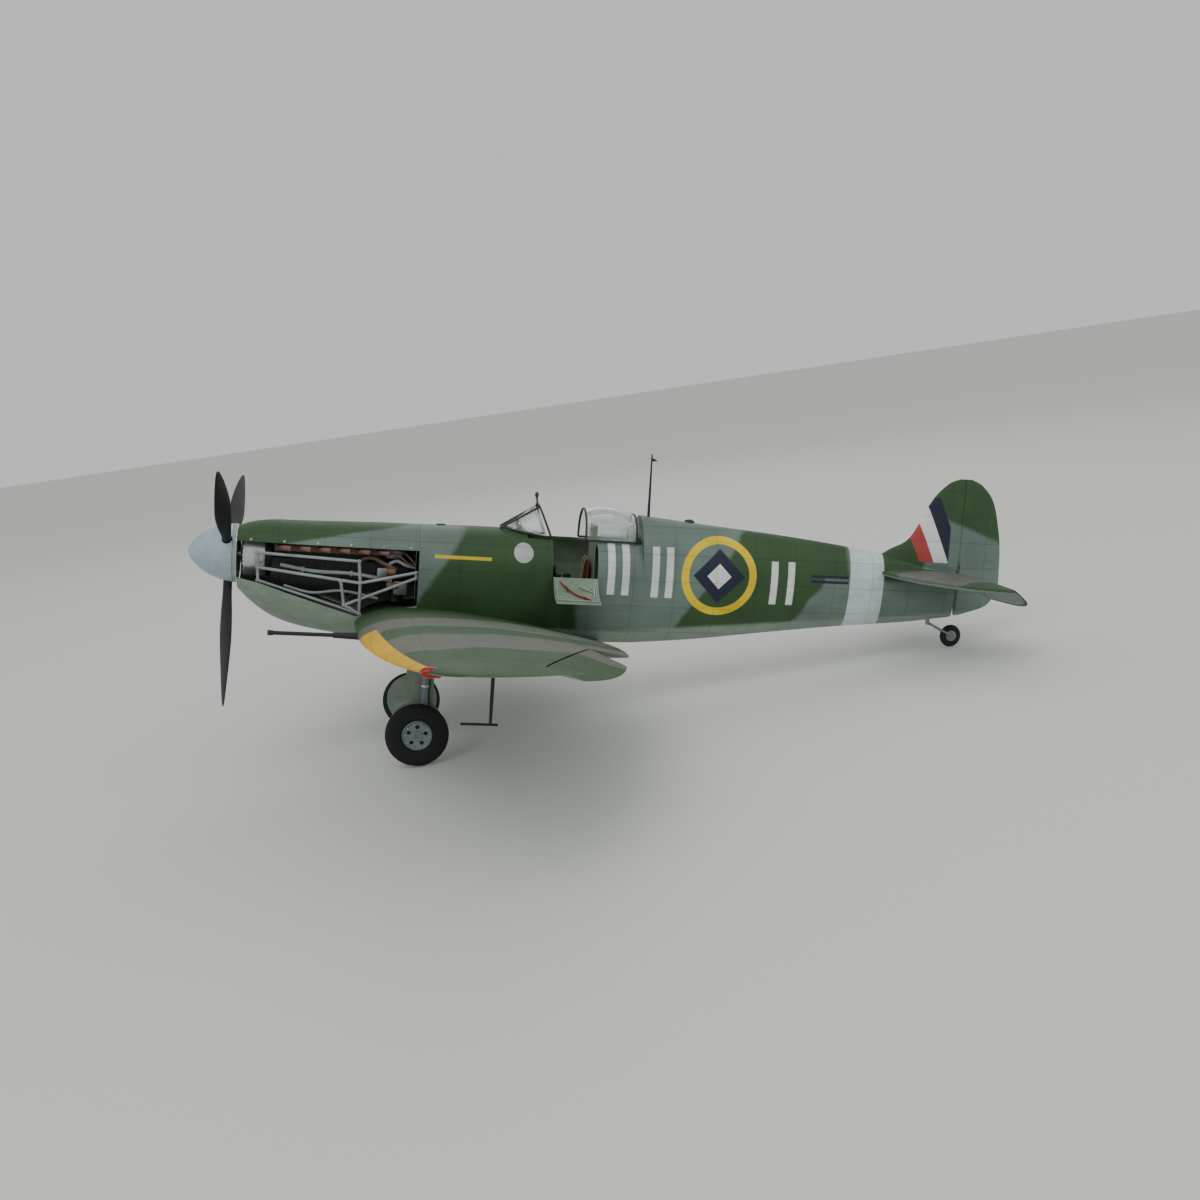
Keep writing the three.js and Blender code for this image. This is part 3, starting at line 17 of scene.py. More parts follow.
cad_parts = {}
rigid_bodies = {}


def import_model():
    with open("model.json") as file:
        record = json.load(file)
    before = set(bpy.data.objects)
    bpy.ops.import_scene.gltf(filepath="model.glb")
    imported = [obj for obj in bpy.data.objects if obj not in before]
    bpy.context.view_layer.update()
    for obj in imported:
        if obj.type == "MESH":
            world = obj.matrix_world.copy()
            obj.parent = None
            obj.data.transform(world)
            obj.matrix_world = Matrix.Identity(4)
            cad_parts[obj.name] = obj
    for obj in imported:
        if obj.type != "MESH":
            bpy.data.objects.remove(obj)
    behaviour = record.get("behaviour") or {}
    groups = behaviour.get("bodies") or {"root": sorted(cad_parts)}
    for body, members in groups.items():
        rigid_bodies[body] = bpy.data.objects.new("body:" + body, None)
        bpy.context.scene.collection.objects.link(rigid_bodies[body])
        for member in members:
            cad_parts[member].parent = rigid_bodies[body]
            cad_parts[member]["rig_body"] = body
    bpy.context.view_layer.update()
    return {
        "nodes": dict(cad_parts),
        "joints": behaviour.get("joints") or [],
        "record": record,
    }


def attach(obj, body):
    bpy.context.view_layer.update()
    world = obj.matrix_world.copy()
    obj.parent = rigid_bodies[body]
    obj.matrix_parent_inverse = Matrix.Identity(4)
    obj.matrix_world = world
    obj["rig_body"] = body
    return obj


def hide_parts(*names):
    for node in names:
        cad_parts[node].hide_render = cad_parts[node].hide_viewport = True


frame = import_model()

bl_info = {
    "name": "Model Fighter Finish",
    "version": (1, 0, 0),
    "blender": (4, 5, 0),
    "location": "3D View > Sidebar > Model Fighter",
    "description": "Skins, fittings and painted finish for a scale model fighter",
    "category": "Object",
}

JOINTS = {joint["name"]: joint for joint in frame["joints"]}
AFT = np.array(JOINTS["propeller_spin"]["axis"], float)
STARBOARD = np.array([0.0, 1.0, 0.0])
UP = np.cross(AFT, STARBOARD)
HUB_X = 41.5
ORIGIN = np.array(JOINTS["propeller_spin"]["pos_m"], float) - HUB_X / 1000 * AFT
TAU = 2 * math.pi


def place(points):
    """Datum millimetres to frame metres: origin plus each coordinate along its own unit vector."""
    points = np.asarray(points, float) / 1000
    return ORIGIN + points[..., :1] * AFT + points[..., 1:2] * STARBOARD + points[..., 2:3] * UP


# ---- The aircraft's shape ----
COWL_FRONT = 52.0
FIREWALL = 239.0
CABIN_REAR = 480.0
STERN = 858.0
# Stations of x, top, bottom, half width and height of the widest point.
FRONT_ROWS = np.array([
    [52, 29.5, -37, 31, -1], [65.09, 34.3, -49.8, 33.5, -3], [85.66, 37.4, -64, 36.5, -5],
    [111.84, 38, -73.5, 38.8, -6], [152.98, 39.2, -80.5, 40.2, -6], [195.99, 40.5, -84, 41, -5],
    [239, 41, -84, 41.8, -4], [279.97, 42.1, -83, 42.6, -2], [328.17, 42.4, -82, 43, -1],
    [407.7, 42.4, -80.5, 42.6, 0], [480, 42.4, -78.5, 41, 0],
])
AFT_ROWS = np.array([
    [480, 64.4, -78.5, 41, 0], [548.04, 58.6, -72, 36.5, 1], [642.54, 51.1, -59.5, 28.5, 2],
    [714.36, 43.6, -50.5, 21.5, 3], [763.5, 37, -45.5, 16.5, 3], [808.86, 33, -40.5, 11.5, 2],
    [858, 28, -33, 6.5, 0],
])
# Rows of height, leading edge and trailing edge, the edges measured from the stern.
TAIL_ROWS = np.array([
    [-31, -30, 9], [-26, -30, 24], [-19, -30, 42], [-6, -30, 52], [6, -30, 56], [24, -100, 55.5],
    [41, -84, 54.5], [51, -65, 53.5], [61, -56, 52], [76, -48, 48.5], [93, -40, 44], [106, -32, 38.5],
    [116, -23, 30.5], [123.5, -13.5, 21], [127.4, -3, 11],
])
SPINNER_ROWS = np.array([[0, 0.3], [1, 4], [5, 10.5], [13, 18.2], [24, 24.8], [36, 29.3], [49.6, 31]])
# Rows of distance from the shaft, chord, thickness and pitch.
BLADE_ROWS = np.array([
    [11.7, 9.2, 9.2, 60], [29, 9.2, 9.2, 60], [44.3, 12, 6.2, 50], [65.6, 18.5, 4.4, 42],
    [90.2, 23, 3.4, 36], [114.8, 21.5, 2.6, 31], [137.8, 16.5, 2, 27], [154.2, 10, 1.6, 26],
    [161, 6, 1.3, 25], [164, 2.2, 1.2, 24],
])


def keyed(rows, x):
    """Smooth values through rows of position and values: cubic Hermite pieces whose slope at each
    row is that of the chord between its neighbours."""
    rows = np.asarray(rows, float)
    x = np.clip(np.asarray(x, float), rows[0, 0], rows[-1, 0])
    last = len(rows) - 1
    i = np.clip(np.searchsorted(rows[:, 0], x, side="right") - 1, 0, last - 1)
    before, start = rows[np.maximum(i - 1, 0)], rows[i]
    end, after = rows[i + 1], rows[np.minimum(i + 2, last)]
    width = (end[:, 0] - start[:, 0])[:, None]
    t = ((x - start[:, 0]) / width[:, 0])[:, None]
    slope_in = (end[:, 1:] - before[:, 1:]) / (end[:, :1] - before[:, :1]) * width
    slope_out = (after[:, 1:] - start[:, 1:]) / (after[:, :1] - start[:, :1]) * width
    rise = end[:, 1:] - start[:, 1:]
    cubic = slope_in + slope_out - 2 * rise
    return start[:, 1:] + t * (slope_in + t * (3 * rise - 2 * slope_in - slope_out + t * cubic))


def body_rings(rows, stations, count, grow):
    """Egg-shaped rings: half width times cosine across, and the reach above or below the widest
    height times sine up, each moved outwards by grow."""
    top, bottom, half, widest = keyed(rows, stations).T[..., None]
    angle = np.linspace(0, TAU, count, endpoint=False)
    reach = np.where(np.sin(angle) > 0, top - widest, widest - bottom) + grow
    x = np.repeat(np.asarray(stations, float)[:, None], count, 1)
    return np.stack([x, (half + grow) * np.cos(angle), widest + reach * np.sin(angle)], -1)


# Wing: spans, chords and twist in millimetres and degrees.
HALF_SPAN = 561.0
TIP_SHARE = 0.9985
WING_ROOT_LEAD, WING_ROOT_TRAIL, WING_TIP_X, WING_ROOT_Z = 175.0, 440.0, 250.0, -71.0
DIHEDRAL, ROOT_INCIDENCE, TIP_INCIDENCE = 5.4, 2.0, -0.5
ROOT_THICKNESS, TIP_THICKNESS, CAMBER, FOIL_EDGE = 0.13, 0.065, 0.02, 0.25
AILERON_INNER_Y, AILERON_OUTER_Y = 305.0, 500.0
AILERON_INNER_CHORD, AILERON_OUTER_CHORD = 35.0, 27.0
FLAP_INNER_Y, FLAP_OUTER_Y, FLAP_HINGE_X = 48.0, 300.0, 378.0
AILERON_DROOP, ELEVATOR_DROOP = 14.0, 32.0
END_GAP, NOSE_GAP = 3.0, 1.0


def foil_half(share, thickness):
    """Half thickness of a four-digit section of unit chord: the usual square-root polynomial."""
    curve = 0.2969 * np.sqrt(share) - 0.126 * share - 0.3516 * share ** 2
    return 5 * thickness * (curve + 0.2843 * share ** 3 - 0.1036 * share ** 4)


def wing_at(outboard):
    """Leading edge, chord, thickness share, mid height and incidence slope at a distance outboard:
    both edges follow powers of the span share, so the plan is close to an ellipse."""
    share = np.clip(np.asarray(outboard, float) / HALF_SPAN, 0, TIP_SHARE)
    lead = WING_TIP_X - (WING_TIP_X - WING_ROOT_LEAD) * (1 - share ** 2.4) ** 0.476
    trail = WING_TIP_X + (WING_ROOT_TRAIL - WING_TIP_X) * (1 - share ** 2.3) ** 0.5
    thickness = ROOT_THICKNESS + (TIP_THICKNESS - ROOT_THICKNESS) * share
    height = WING_ROOT_Z + outboard * math.tan(math.radians(DIHEDRAL))
    slope = np.tan(np.radians(ROOT_INCIDENCE + (TIP_INCIDENCE - ROOT_INCIDENCE) * share))
    return lead, trail - lead, thickness, height, slope


def wing_skin(x, outboard):
    """Camber-line height and half thickness of the wing at a place: two parabolas of camber that
    meet a fifth of the chord back, less the incidence about the quarter chord."""
    lead, chord, thickness, height, slope = wing_at(outboard)
    share = np.clip((x - lead) / chord, 0, 1)
    peak = 0.2
    ahead = CAMBER / peak ** 2 * (2 * peak * share - share ** 2)
    behind = CAMBER / (1 - peak) ** 2 * (1 - 2 * peak + 2 * peak * share - share ** 2)
    camber = np.where(share < peak, ahead, behind)
    middle = height + camber * chord - (x - lead - chord / 4) * slope
    return middle, foil_half(share, thickness) * chord + FOIL_EDGE


def section_shares(count):
    """Chord shares from the trailing edge to the nose, spaced by a cosine so the nose is fine."""
    return (0.5 + 0.5 * np.cos(np.linspace(0, math.pi, count)))[:-1]


def wing_rings(side, outboards, count=30):
    """Wing sections along the span: the upper side back to front, the nose, then the lower side."""
    outboards = np.asarray(outboards, float)[:, None]
    shares = section_shares(count)
    lead, chord = wing_at(outboards)[:2]
    x = lead + shares * chord
    middle, half = wing_skin(x, outboards)
    nose = wing_skin(lead, outboards)[0]
    xs = np.concatenate([x, lead, x[:, ::-1]], 1)
    zs = np.concatenate([middle + half, nose, (middle - half)[:, ::-1]], 1)
    return np.stack([xs, np.broadcast_to(side * outboards, xs.shape), zs], -1)


def even_rings(lead, trail, thickness, placed, count=24):
    """Symmetric sections between two edges; placed turns x and the offset from the mid plane
    into points."""
    shares = section_shares(count)
    chord = (trail - lead)[:, None]
    x = lead[:, None] + shares * chord
    half = foil_half(shares, thickness) * chord + FOIL_EDGE
    xs = np.concatenate([x, lead[:, None], x[:, ::-1]], 1)
    offsets = np.concatenate([half, 0 * lead[:, None], -half[:, ::-1]], 1)
    return placed(xs, offsets)


# ---- Meshes ----
def grid_faces(rows, columns, wrap_rows=False, wrap_columns=True):
    """Quads of a grid of points, joined round in either direction when asked."""
    i = np.arange(rows if wrap_rows else rows - 1)[:, None]
    j = np.arange(columns if wrap_columns else columns - 1)[None, :]
    corner = i * columns + j
    right = i * columns + (j + 1) % columns
    down = (i + 1) % rows * columns
    quads = [corner, right, down + (j + 1) % columns, down + j]
    return np.stack([np.broadcast_to(q, corner.shape) for q in quads], -1).reshape(-1, 4)


def enclosed(points, faces):
    """Signed volume by the divergence theorem: a sixth of each triangle's triple product."""
    a, b, c, d = (points[faces[:, k]] for k in range(4))
    first = np.einsum("ij,ij->i", a, np.cross(b, c))
    return float((first + np.einsum("ij,ij->i", a, np.cross(c, d))).sum() / 6)


def mesh_object(name, points, faces, materials=(), indices=None):
    """A new object in the scene from frame points and faces."""
    mesh = bpy.data.meshes.new(name)
    mesh.from_pydata(points.tolist(), [], faces)
    for material in materials:
        mesh.materials.append(material)
    if indices is not None:
        mesh.polygons.foreach_set("material_index", np.asarray(indices, np.int32))
    mesh.update()
    made = bpy.data.objects.new(name, mesh)
    bpy.context.scene.collection.objects.link(made)
    return made


def closed_body(rings, wrap_rows=False, start=0):
    """Points and faces of a body through rings. Its ends are closed by flat faces, unless the rings
    themselves join round. Faces are turned outwards by the sign of the volume."""
    rows, columns = rings.shape[:2]
    points = place(rings).reshape(-1, 3)
    quads = grid_faces(rows, columns, wrap_rows)
    first, last = np.arange(columns), np.arange(columns) + (rows - 1) * columns
    flip = enclosed(points - points.mean(0), quads) < 0
    ends = [first, last[::-1]] if flip else [first[::-1], last]
    faces = ((quads[:, ::-1] if flip else quads) + start).tolist()
    return points, faces + ([] if wrap_rows else [(end + start).tolist() for end in ends])


def surface(name, rings, materials=(), wrap_rows=False, indices=None):
    """One closed body of rings as an object, with a material index for each of its quads."""
    if indices is not None and not wrap_rows:
        indices = [*indices, indices[0], indices[-1]]
    return mesh_object(name, *closed_body(rings, wrap_rows), materials, indices)


def many(name, bodies, materials=()):
    """One object from several closed bodies of rings."""
    points, faces, start = [], [], 0
    for rings in bodies:
        corners, added = closed_body(rings, start=start)
        points.append(corners)
        faces += added
        start += len(corners)
    return mesh_object(name, np.concatenate(points), faces, materials)


def prism(outline, axis, low, high):
    """An outline of corners in the two axes that are left, carried from low to high."""
    outline = np.asarray(outline, float)
    others = [k for k in range(3) if k != axis]
    rings = np.zeros((2, len(outline), 3))
    rings[..., others] = outline
    rings[0, :, axis] = low
    rings[1, :, axis] = high
    return rings


def block(x0, x1, y0, y1, z0, z1):
    """A plain box between two corners."""
    return prism([[x0, z0], [x1, z0], [x1, z1], [x0, z1]], 1, y0, y1)


def soft_block(x0, x1, y0, y1, z0, z1, edge=0.8):
    """A box with bevelled ends: four rings, the outer two drawn in by the edge."""
    rings = []
    for y, inset in ((y0, edge), (y0 + edge, 0), (y1 - edge, 0), (y1, edge)):
        a, b, c, d = x0 + inset, x1 - inset, z0 + inset, z1 - inset
        k = edge
        rings.append([[a + k, y, c], [b - k, y, c], [b, y, c + k], [b, y, d - k],
                      [b - k, y, d], [a + k, y, d], [a, y, d - k], [a, y, c + k]])
    return np.array(rings)


def turned(profile, axis, centre, count=64):
    """A profile of distance along and radius, turned about an axis through the centre."""
    profile = np.asarray(profile, float)
    angle = np.linspace(0, TAU, count, endpoint=False)
    rings = np.zeros((len(profile), count, 3))
    others = [k for k in range(3) if k != axis]
    rings[..., axis] = profile[:, :1]
    rings[..., others[0]] = profile[:, 1:] * np.cos(angle)
    rings[..., others[1]] = profile[:, 1:] * np.sin(angle)
    return rings + np.asarray(centre, float)


def smooth_path(points, count):
    """A smooth line through points, even in the share of its length."""
    points = np.asarray(points, float)
    steps = np.r_[0, np.cumsum(np.linalg.norm(np.diff(points, axis=0), axis=1))]
    rows = np.column_stack([steps / steps[-1], points])
    return keyed(rows, np.linspace(0, 1, count))


def pipe(points, radius, count=None, sides=14, smooth=True):
    """A round section carried along a line: each ring stands square to the line's tangent. The
    radius may change along it."""
    points = np.asarray(points, float)
    if smooth:
        points = smooth_path(points, count or 6 * len(points))
    tangent = np.gradient(points, axis=0)
    tangent /= np.linalg.norm(tangent, axis=1)[:, None]
    spread = np.abs(tangent).max(0)
    reference = np.eye(3)[int(spread.argmin())]
    across = np.cross(tangent, reference)
    across /= np.linalg.norm(across, axis=1)[:, None]
    upward = np.cross(tangent, across)
    angle = np.linspace(0, TAU, sides, endpoint=False)
    radius = np.broadcast_to(np.asarray(radius, float), (len(points),))[:, None, None]
    cosine, sine = np.cos(angle)[None, :, None], np.sin(angle)[None, :, None]
    return points[:, None] + radius * (across[:, None] * cosine + upward[:, None] * sine)


def rod(start, end, radius, sides=14):
    """A straight round bar between two points."""
    return pipe(np.array([start, end], float), radius, sides=sides, smooth=False)


def carve(target, tools, operation="DIFFERENCE"):
    """Cuts the target by each tool in turn, or keeps what they share, and bakes the result."""
    for tool in tools:
        step = target.modifiers.new("cut", "BOOLEAN")
        step.operation, step.solver, step.object = operation, "EXACT", tool
    graph = bpy.context.evaluated_depsgraph_get()
    mesh = bpy.data.meshes.new_from_object(target.evaluated_get(graph))
    target.modifiers.clear()
    target.data = mesh
    for tool in tools:
        bpy.data.objects.remove(tool)
    return target


def fit(made, body, slot, *nodes, degrees=38):
    """Smooths a finished piece, sets the body it rides on and hides the nodes it stands for; its slot is not
    used.
    """
    mesh = made.data
    mesh.polygons.foreach_set("use_smooth", np.ones(len(mesh.polygons), bool))
    mesh.set_sharp_from_angle(angle=math.radians(degrees))
    if nodes:
        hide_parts(*nodes)
    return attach(made, body)


def refined(node, material, bevel=0.0, degrees=38, grow=0.0):
    """A merged, smooth-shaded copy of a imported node, its flat areas joined and its edges eased.

    Thin bars may be grown: each point moves out along its own normal by the same distance."""
    source = frame["nodes"][node]
    mesh = source.data.copy()
    shape = bmesh.new()
    shape.from_mesh(mesh)
    bmesh.ops.remove_doubles(shape, verts=shape.verts, dist=2e-5)
    if bevel:
        bmesh.ops.dissolve_limit(shape, angle_limit=math.radians(1.5), verts=shape.verts,
                                 edges=shape.edges)
    shape.to_mesh(mesh)
    shape.free()
    if grow:
        points, normals = (np.zeros(len(mesh.vertices) * 3, np.float32) for _ in range(2))
        mesh.vertices.foreach_get("co", points)
        mesh.vertices.foreach_get("normal", normals)
        mesh.vertices.foreach_set("co", points + grow * normals)
        mesh.update()
    mesh.materials.clear()
    mesh.materials.append(material)
    if "custom_normal" in mesh.attributes:
        mesh.attributes.remove(mesh.attributes["custom_normal"])
    made = bpy.data.objects.new(node + "_piece", mesh)
    bpy.context.scene.collection.objects.link(made)
    if bevel:
        ease = made.modifiers.new("ease", "BEVEL")
        ease.width, ease.segments, ease.limit_method = bevel, 2, "ANGLE"
        ease.angle_limit, ease.use_clamp_overlap = math.radians(35), True
    slots = {part["node"]: part["material_slot"] for part in frame["record"]["subparts"]}
    return fit(made, source["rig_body"], slots[node], node, degrees=degrees)


def turn_about(points, start, end, degrees):
    """Points turned about the line through start and end, by Rodrigues' formula."""
    start, end = np.asarray(start, float), np.asarray(end, float)
    axis = (end - start) / np.linalg.norm(end - start)
    cosine, sine = math.cos(math.radians(degrees)), math.sin(math.radians(degrees))
    offset = points - start
    along = (offset @ axis)[..., None] * axis
    return start + offset * cosine + np.cross(axis, offset) * sine + along * (1 - cosine)


def mesh_points(made):
    """A mesh's points in frame metres, one row each."""
    points = np.zeros(len(made.data.vertices) * 3, np.float32)
    made.data.vertices.foreach_get("co", points)
    return points.reshape(-1, 3).astype(float)


def datum_points(made):
    """A mesh's points as x, y and z in datum millimetres."""
    offset = (mesh_points(made) - ORIGIN) * 1000
    return offset @ AFT, offset @ STARBOARD, offset @ UP


def write_marks(made, chord_share, lower_side):
    """Stores what the wing paint reads at each point: chord share, and 1 on the lower side."""
    for name, values in (("chord_share", chord_share), ("lower_side", lower_side)):
        mark = made.data.attributes.new(name, "FLOAT", "POINT")
        mark.data.foreach_set("value", values.astype(np.float32))


def turn_piece(made, start, end, degrees):
    """Turns a finished mesh about a line given in datum millimetres."""
    ends = place(np.array([start, end]))
    moved = turn_about(mesh_points(made), ends[0], ends[1], degrees)
    made.data.vertices.foreach_set("co", moved.astype(np.float32).ravel())
    made.data.update()
    return made


def hinge_rings(line, radii, normal, grow, reach=120.0, height=40.0):
    """The space of a control surface: half a circle about each hinge point, then all aft of it."""
    line, normal = np.asarray(line, float), np.asarray(normal, float)
    angle = np.linspace(math.pi / 2, -math.pi / 2, 13)
    aft = np.array([1.0, 0, 0])
    reach_out = (np.asarray(radii, float) + grow)[:, None, None]
    arc = np.sin(angle)[:, None] * normal - np.cos(angle)[:, None] * aft
    nose = line[:, None] + reach_out * arc
    corners = np.array([[0, -height], [reach, -height], [reach, height], [0, height]])
    box = line[:, None] + corners[:, :1] * aft + corners[:, 1:] * normal
    return np.concatenate([nose, box], 1)


def inset_line(line, gap):
    """A hinge line drawn in at both ends by the gap."""
    line = np.array(line, float)
    along = (line[-1] - line[0]) / np.linalg.norm(line[-1] - line[0])
    line[0] += gap * along
    line[-1] -= gap * along
    return line


# ---- Node materials ----
def linear(red, green, blue):
    """Display values of 0 to 255 as linear light."""
    values = np.array([red, green, blue]) / 255
    light = np.where(values <= 0.04045, values / 12.92, ((values + 0.055) / 1.055) ** 2.4)
    return (*light.tolist(), 1.0)


class Weave:
    """Adds nodes to a tree and wires them; a socket or a plain value may stand for any input."""

    def __init__(self, tree):
        self.tree = tree

    def add(self, kind, **settings):
        node = self.tree.nodes.new(kind)
        for key, value in settings.items():
            setattr(node, key, value)
        return node

    def feed(self, socket, value):
        if isinstance(value, bpy.types.NodeSocket):
            self.tree.links.new(value, socket)
        elif value is not None:
            socket.default_value = value

    def math(self, operation, first, second=None, third=None, clamp=False):
        node = self.add("ShaderNodeMath", operation=operation, use_clamp=clamp)
        for socket, value in zip(node.inputs, (first, second, third)):
            self.feed(socket, value)
        return node.outputs[0]

    def step(self, value, low, high, to_low=0.0, to_high=1.0):
        node = self.add("ShaderNodeMapRange", interpolation_type="SMOOTHSTEP")
        for socket, given in zip(node.inputs, (value, low, high, to_low, to_high)):
            self.feed(socket, given)
        return node.outputs[0]

    def blend(self, factor, first, second, mode="MIX"):
        node = self.add("ShaderNodeMix", data_type="RGBA", blend_type=mode)
        for index, value in ((0, factor), (6, first), (7, second)):
            self.feed(node.inputs[index], value)
        return node.outputs[2]

    def times(self, *factors):
        product = factors[0]
        for factor in factors[1:]:
            product = self.math("MULTIPLY", product, factor)
        return product

    def less(self, first, second):
        return self.math("SUBTRACT", first, second)

    def distance(self, across, along):
        squares = [self.math("POWER", value, 2.0) for value in (across, along)]
        return self.math("SQRT", self.math("ADD", *squares))

    def noise(self, vector, scale, detail=3.0, roughness=0.55):
        node = self.add("ShaderNodeTexNoise")
        for name, value in (("Vector", vector), ("Scale", scale), ("Detail", detail),
                            ("Roughness", roughness)):
            self.feed(node.inputs[name], value)
        return node.outputs["Fac"]

    def axes(self, vector):
        node = self.add("ShaderNodeSeparateXYZ")
        self.feed(node.inputs[0], vector)
        return node.outputs

    def group(self, tree, **values):
        node = self.add("ShaderNodeGroup", node_tree=tree)
        for name, value in values.items():
            self.feed(node.inputs[name.replace("_", " ").title()], value)
        return node.outputs


def shared(name, inputs, outputs):
    """An empty node group with its sockets, and the weave that fills it."""
    tree = bpy.data.node_groups.new(name, "ShaderNodeTree")
    for label, default in inputs:
        kind = "NodeSocketVector" if default is None else "NodeSocketFloat"
        socket = tree.interface.new_socket(label, in_out="INPUT", socket_type=kind)
        if default is not None:
            socket.default_value = default
    for label in outputs:
        tree.interface.new_socket(label, in_out="OUTPUT", socket_type="NodeSocketFloat")
    weave = Weave(tree)
    return tree, weave, weave.add("NodeGroupInput").outputs, weave.add("NodeGroupOutput").inputs


def wear_group():
    """Handling marks: broad tone, small chips, streaks drawn out along x, and fine grain."""
    tree, weave, given, out = shared("handling wear", [("Vector", None), ("Amount", 0.5)],
                                     ["Tone", "Chips", "Streaks", "Grain"])
    vector = given["Vector"]
    weave.feed(out["Tone"], weave.noise(vector, 0.02, 4.0))
    chips = weave.noise(vector, 0.55, 6.0, 0.7)
    edge = weave.less(0.78, weave.times(given["Amount"], 0.12))
    weave.feed(out["Chips"], weave.step(chips, edge, weave.math("ADD", edge, 0.03)))
    stretch = weave.add("ShaderNodeMapping")
    weave.feed(stretch.inputs["Vector"], vector)
    stretch.inputs["Scale"].default_value = (0.012, 0.22, 0.22)
    weave.feed(out["Streaks"], weave.step(weave.noise(stretch.outputs[0], 1.0, 5.0), 0.42, 0.72))
    weave.feed(out["Grain"], weave.noise(vector, 3.0, 2.0))
    return tree


def panel_group():
    """Panel joints at even pitches along x and z, with a row of rivets beside each joint."""
    tree, weave, given, out = shared(
        "panel joints",
        [("Vector", None), ("Pitch X", 44.0), ("Pitch Z", 27.0), ("Joint Width", 0.4)],
        ["Joints", "Rivets"])
    x, _, z = weave.axes(given["Vector"])
    near_x = weave.math("PINGPONG", x, weave.times(given["Pitch X"], 0.5))
    near_z = weave.math("PINGPONG", weave.math("ADD", z, 4.0), weave.times(given["Pitch Z"], 0.5))
    nearest = weave.math("MINIMUM", near_x, near_z)
    weave.feed(out["Joints"], weave.step(nearest, 0.0, given["Joint Width"], 1.0, 0.0))
    spacing, beside, head = 3.2, 1.8, 0.42
    dots = []
    for near, along in ((near_x, z), (near_z, x)):
        off = weave.math("ABSOLUTE", weave.less(near, beside))
        apart = weave.distance(off, weave.math("PINGPONG", along, spacing / 2))
        dots.append(weave.step(apart, head * 0.5, head, 1.0, 0.0))
    weave.feed(out["Rivets"], weave.math("MAXIMUM", *dots))
    return tree


GROUPS = {}
MATERIALS = {}
# Display colour of what shows through a chip, and the width of a panel joint in millimetres.
BARE = (150, 156, 156)
JOINT_WIDTH = 0.42


def begin(name):
    """A new material, its weave and its shader, on the aircraft's datum in millimetres."""
    if not GROUPS:
        GROUPS.update(wear=wear_group(), panels=panel_group())
    material = bpy.data.materials.new(name)
    material.use_nodes = True
    weave = Weave(material.node_tree)
    coordinates = weave.add("ShaderNodeTexCoord")
    datum = weave.add("ShaderNodeMapping")
    weave.feed(datum.inputs["Vector"], coordinates.outputs["Object"])
    attitude = math.atan2(-AFT[2], AFT[0])
    datum.inputs["Rotation"].default_value = (0, -attitude, 0)
    datum.inputs["Scale"].default_value = (1000, 1000, 1000)
    shift = [-1000 * float(ORIGIN @ unit) for unit in (AFT, STARBOARD, UP)]
    datum.inputs["Location"].default_value = shift
    MATERIALS[name] = material
    return material, weave, material.node_tree.nodes["Principled BSDF"], datum.outputs[0]


def finish_paint(weave, shader, vector, colour, rough=0.5, amount=0.5, chip=BARE, panels=None):
    """Ends a paint: tone, streaks and chips over the colour, joints and rivets, grain and bump."""
    wear = weave.group(GROUPS["wear"], vector=vector, amount=amount)
    tone = weave.step(wear["Tone"], 0.25, 0.75, 0.84, 1.14)
    grey = weave.add("ShaderNodeCombineColor")
    for socket in grey.inputs[:3]:
        weave.feed(socket, tone)
    worn = weave.blend(1.0, colour, grey.outputs[0], "MULTIPLY")
    layers = [(wear["Streaks"], 0.16 * amount + 0.05, (64, 60, 52)), (wear["Chips"], 0.55, chip)]
    height = weave.times(wear["Grain"], 0.12)
    if panels:
        lines = weave.group(GROUPS["panels"], vector=vector, pitch_x=panels[0], pitch_z=panels[1],
                            joint_width=JOINT_WIDTH)
        layers += [(lines["Joints"], 0.55, (24, 28, 26)), (lines["Rivets"], 0.28, (30, 34, 32))]
        height = weave.less(height, weave.times(lines["Joints"], 1.2))
        height = weave.math("ADD", height, weave.times(lines["Rivets"], 0.5))
    for mask, strength, tint in layers:
        worn = weave.blend(weave.times(mask, strength), worn, linear(*tint))
    bump = weave.add("ShaderNodeBump")
    bump.inputs["Strength"].default_value = 0.35
    bump.inputs["Distance"].default_value = 0.0003
    weave.feed(bump.inputs["Height"], height)
    weave.feed(shader.inputs["Normal"], bump.outputs[0])
    weave.feed(shader.inputs["Base Color"], worn)
    weave.feed(shader.inputs["Roughness"], weave.step(wear["Tone"], 0.2, 0.8, rough - 0.07, rough + 0.09))
    weave.feed(shader.inputs["Metallic"], weave.times(wear["Chips"], 0.5))
    shader.inputs["Specular IOR Level"].default_value = 0.32


def colours():
    """The add-on's paint colours."""
    return bpy.context.scene.model_colours


def sizes():
    """The add-on's sizes, in metres."""
    return bpy.context.scene.model_sizes


# Green areas of the fuselage side: an aft-running start and end, each an x and a slope against z.
CABIN_GREEN = (262, 0.55), (411, 0.05)
MIDDLE_GREEN = (562, 0.65), (690, 0.75)
REAR_GREEN = (650, 0.3), (724, 0)
ROOT_GREEN = (760, 0), (812, 0.25)
TAIL_BAND = 724, 766
RING_X, RING_Z, RING_OUTER, RING_INNER = 567.0, 4.0, 43.5, 35.0
SERVICE_DISC_X, SERVICE_DISC_Z, SERVICE_DISC_RADIUS = 349.0, 19.0, 10.4
# Plain upright bars beside the ring, then two level ones ahead of the band: x, z, and if dark.
BARS = ((441, 449, -21, 34, 0), (457, 465, -21, 34, 0), (490, 498, -22, 33, 0), (506, 514, -22, 33, 0),
        (628, 636, -25, 23, 0), (648, 656, -25, 23, 0), (676, 722, 1, 4, 1), (676, 722, 7, 10, 1))


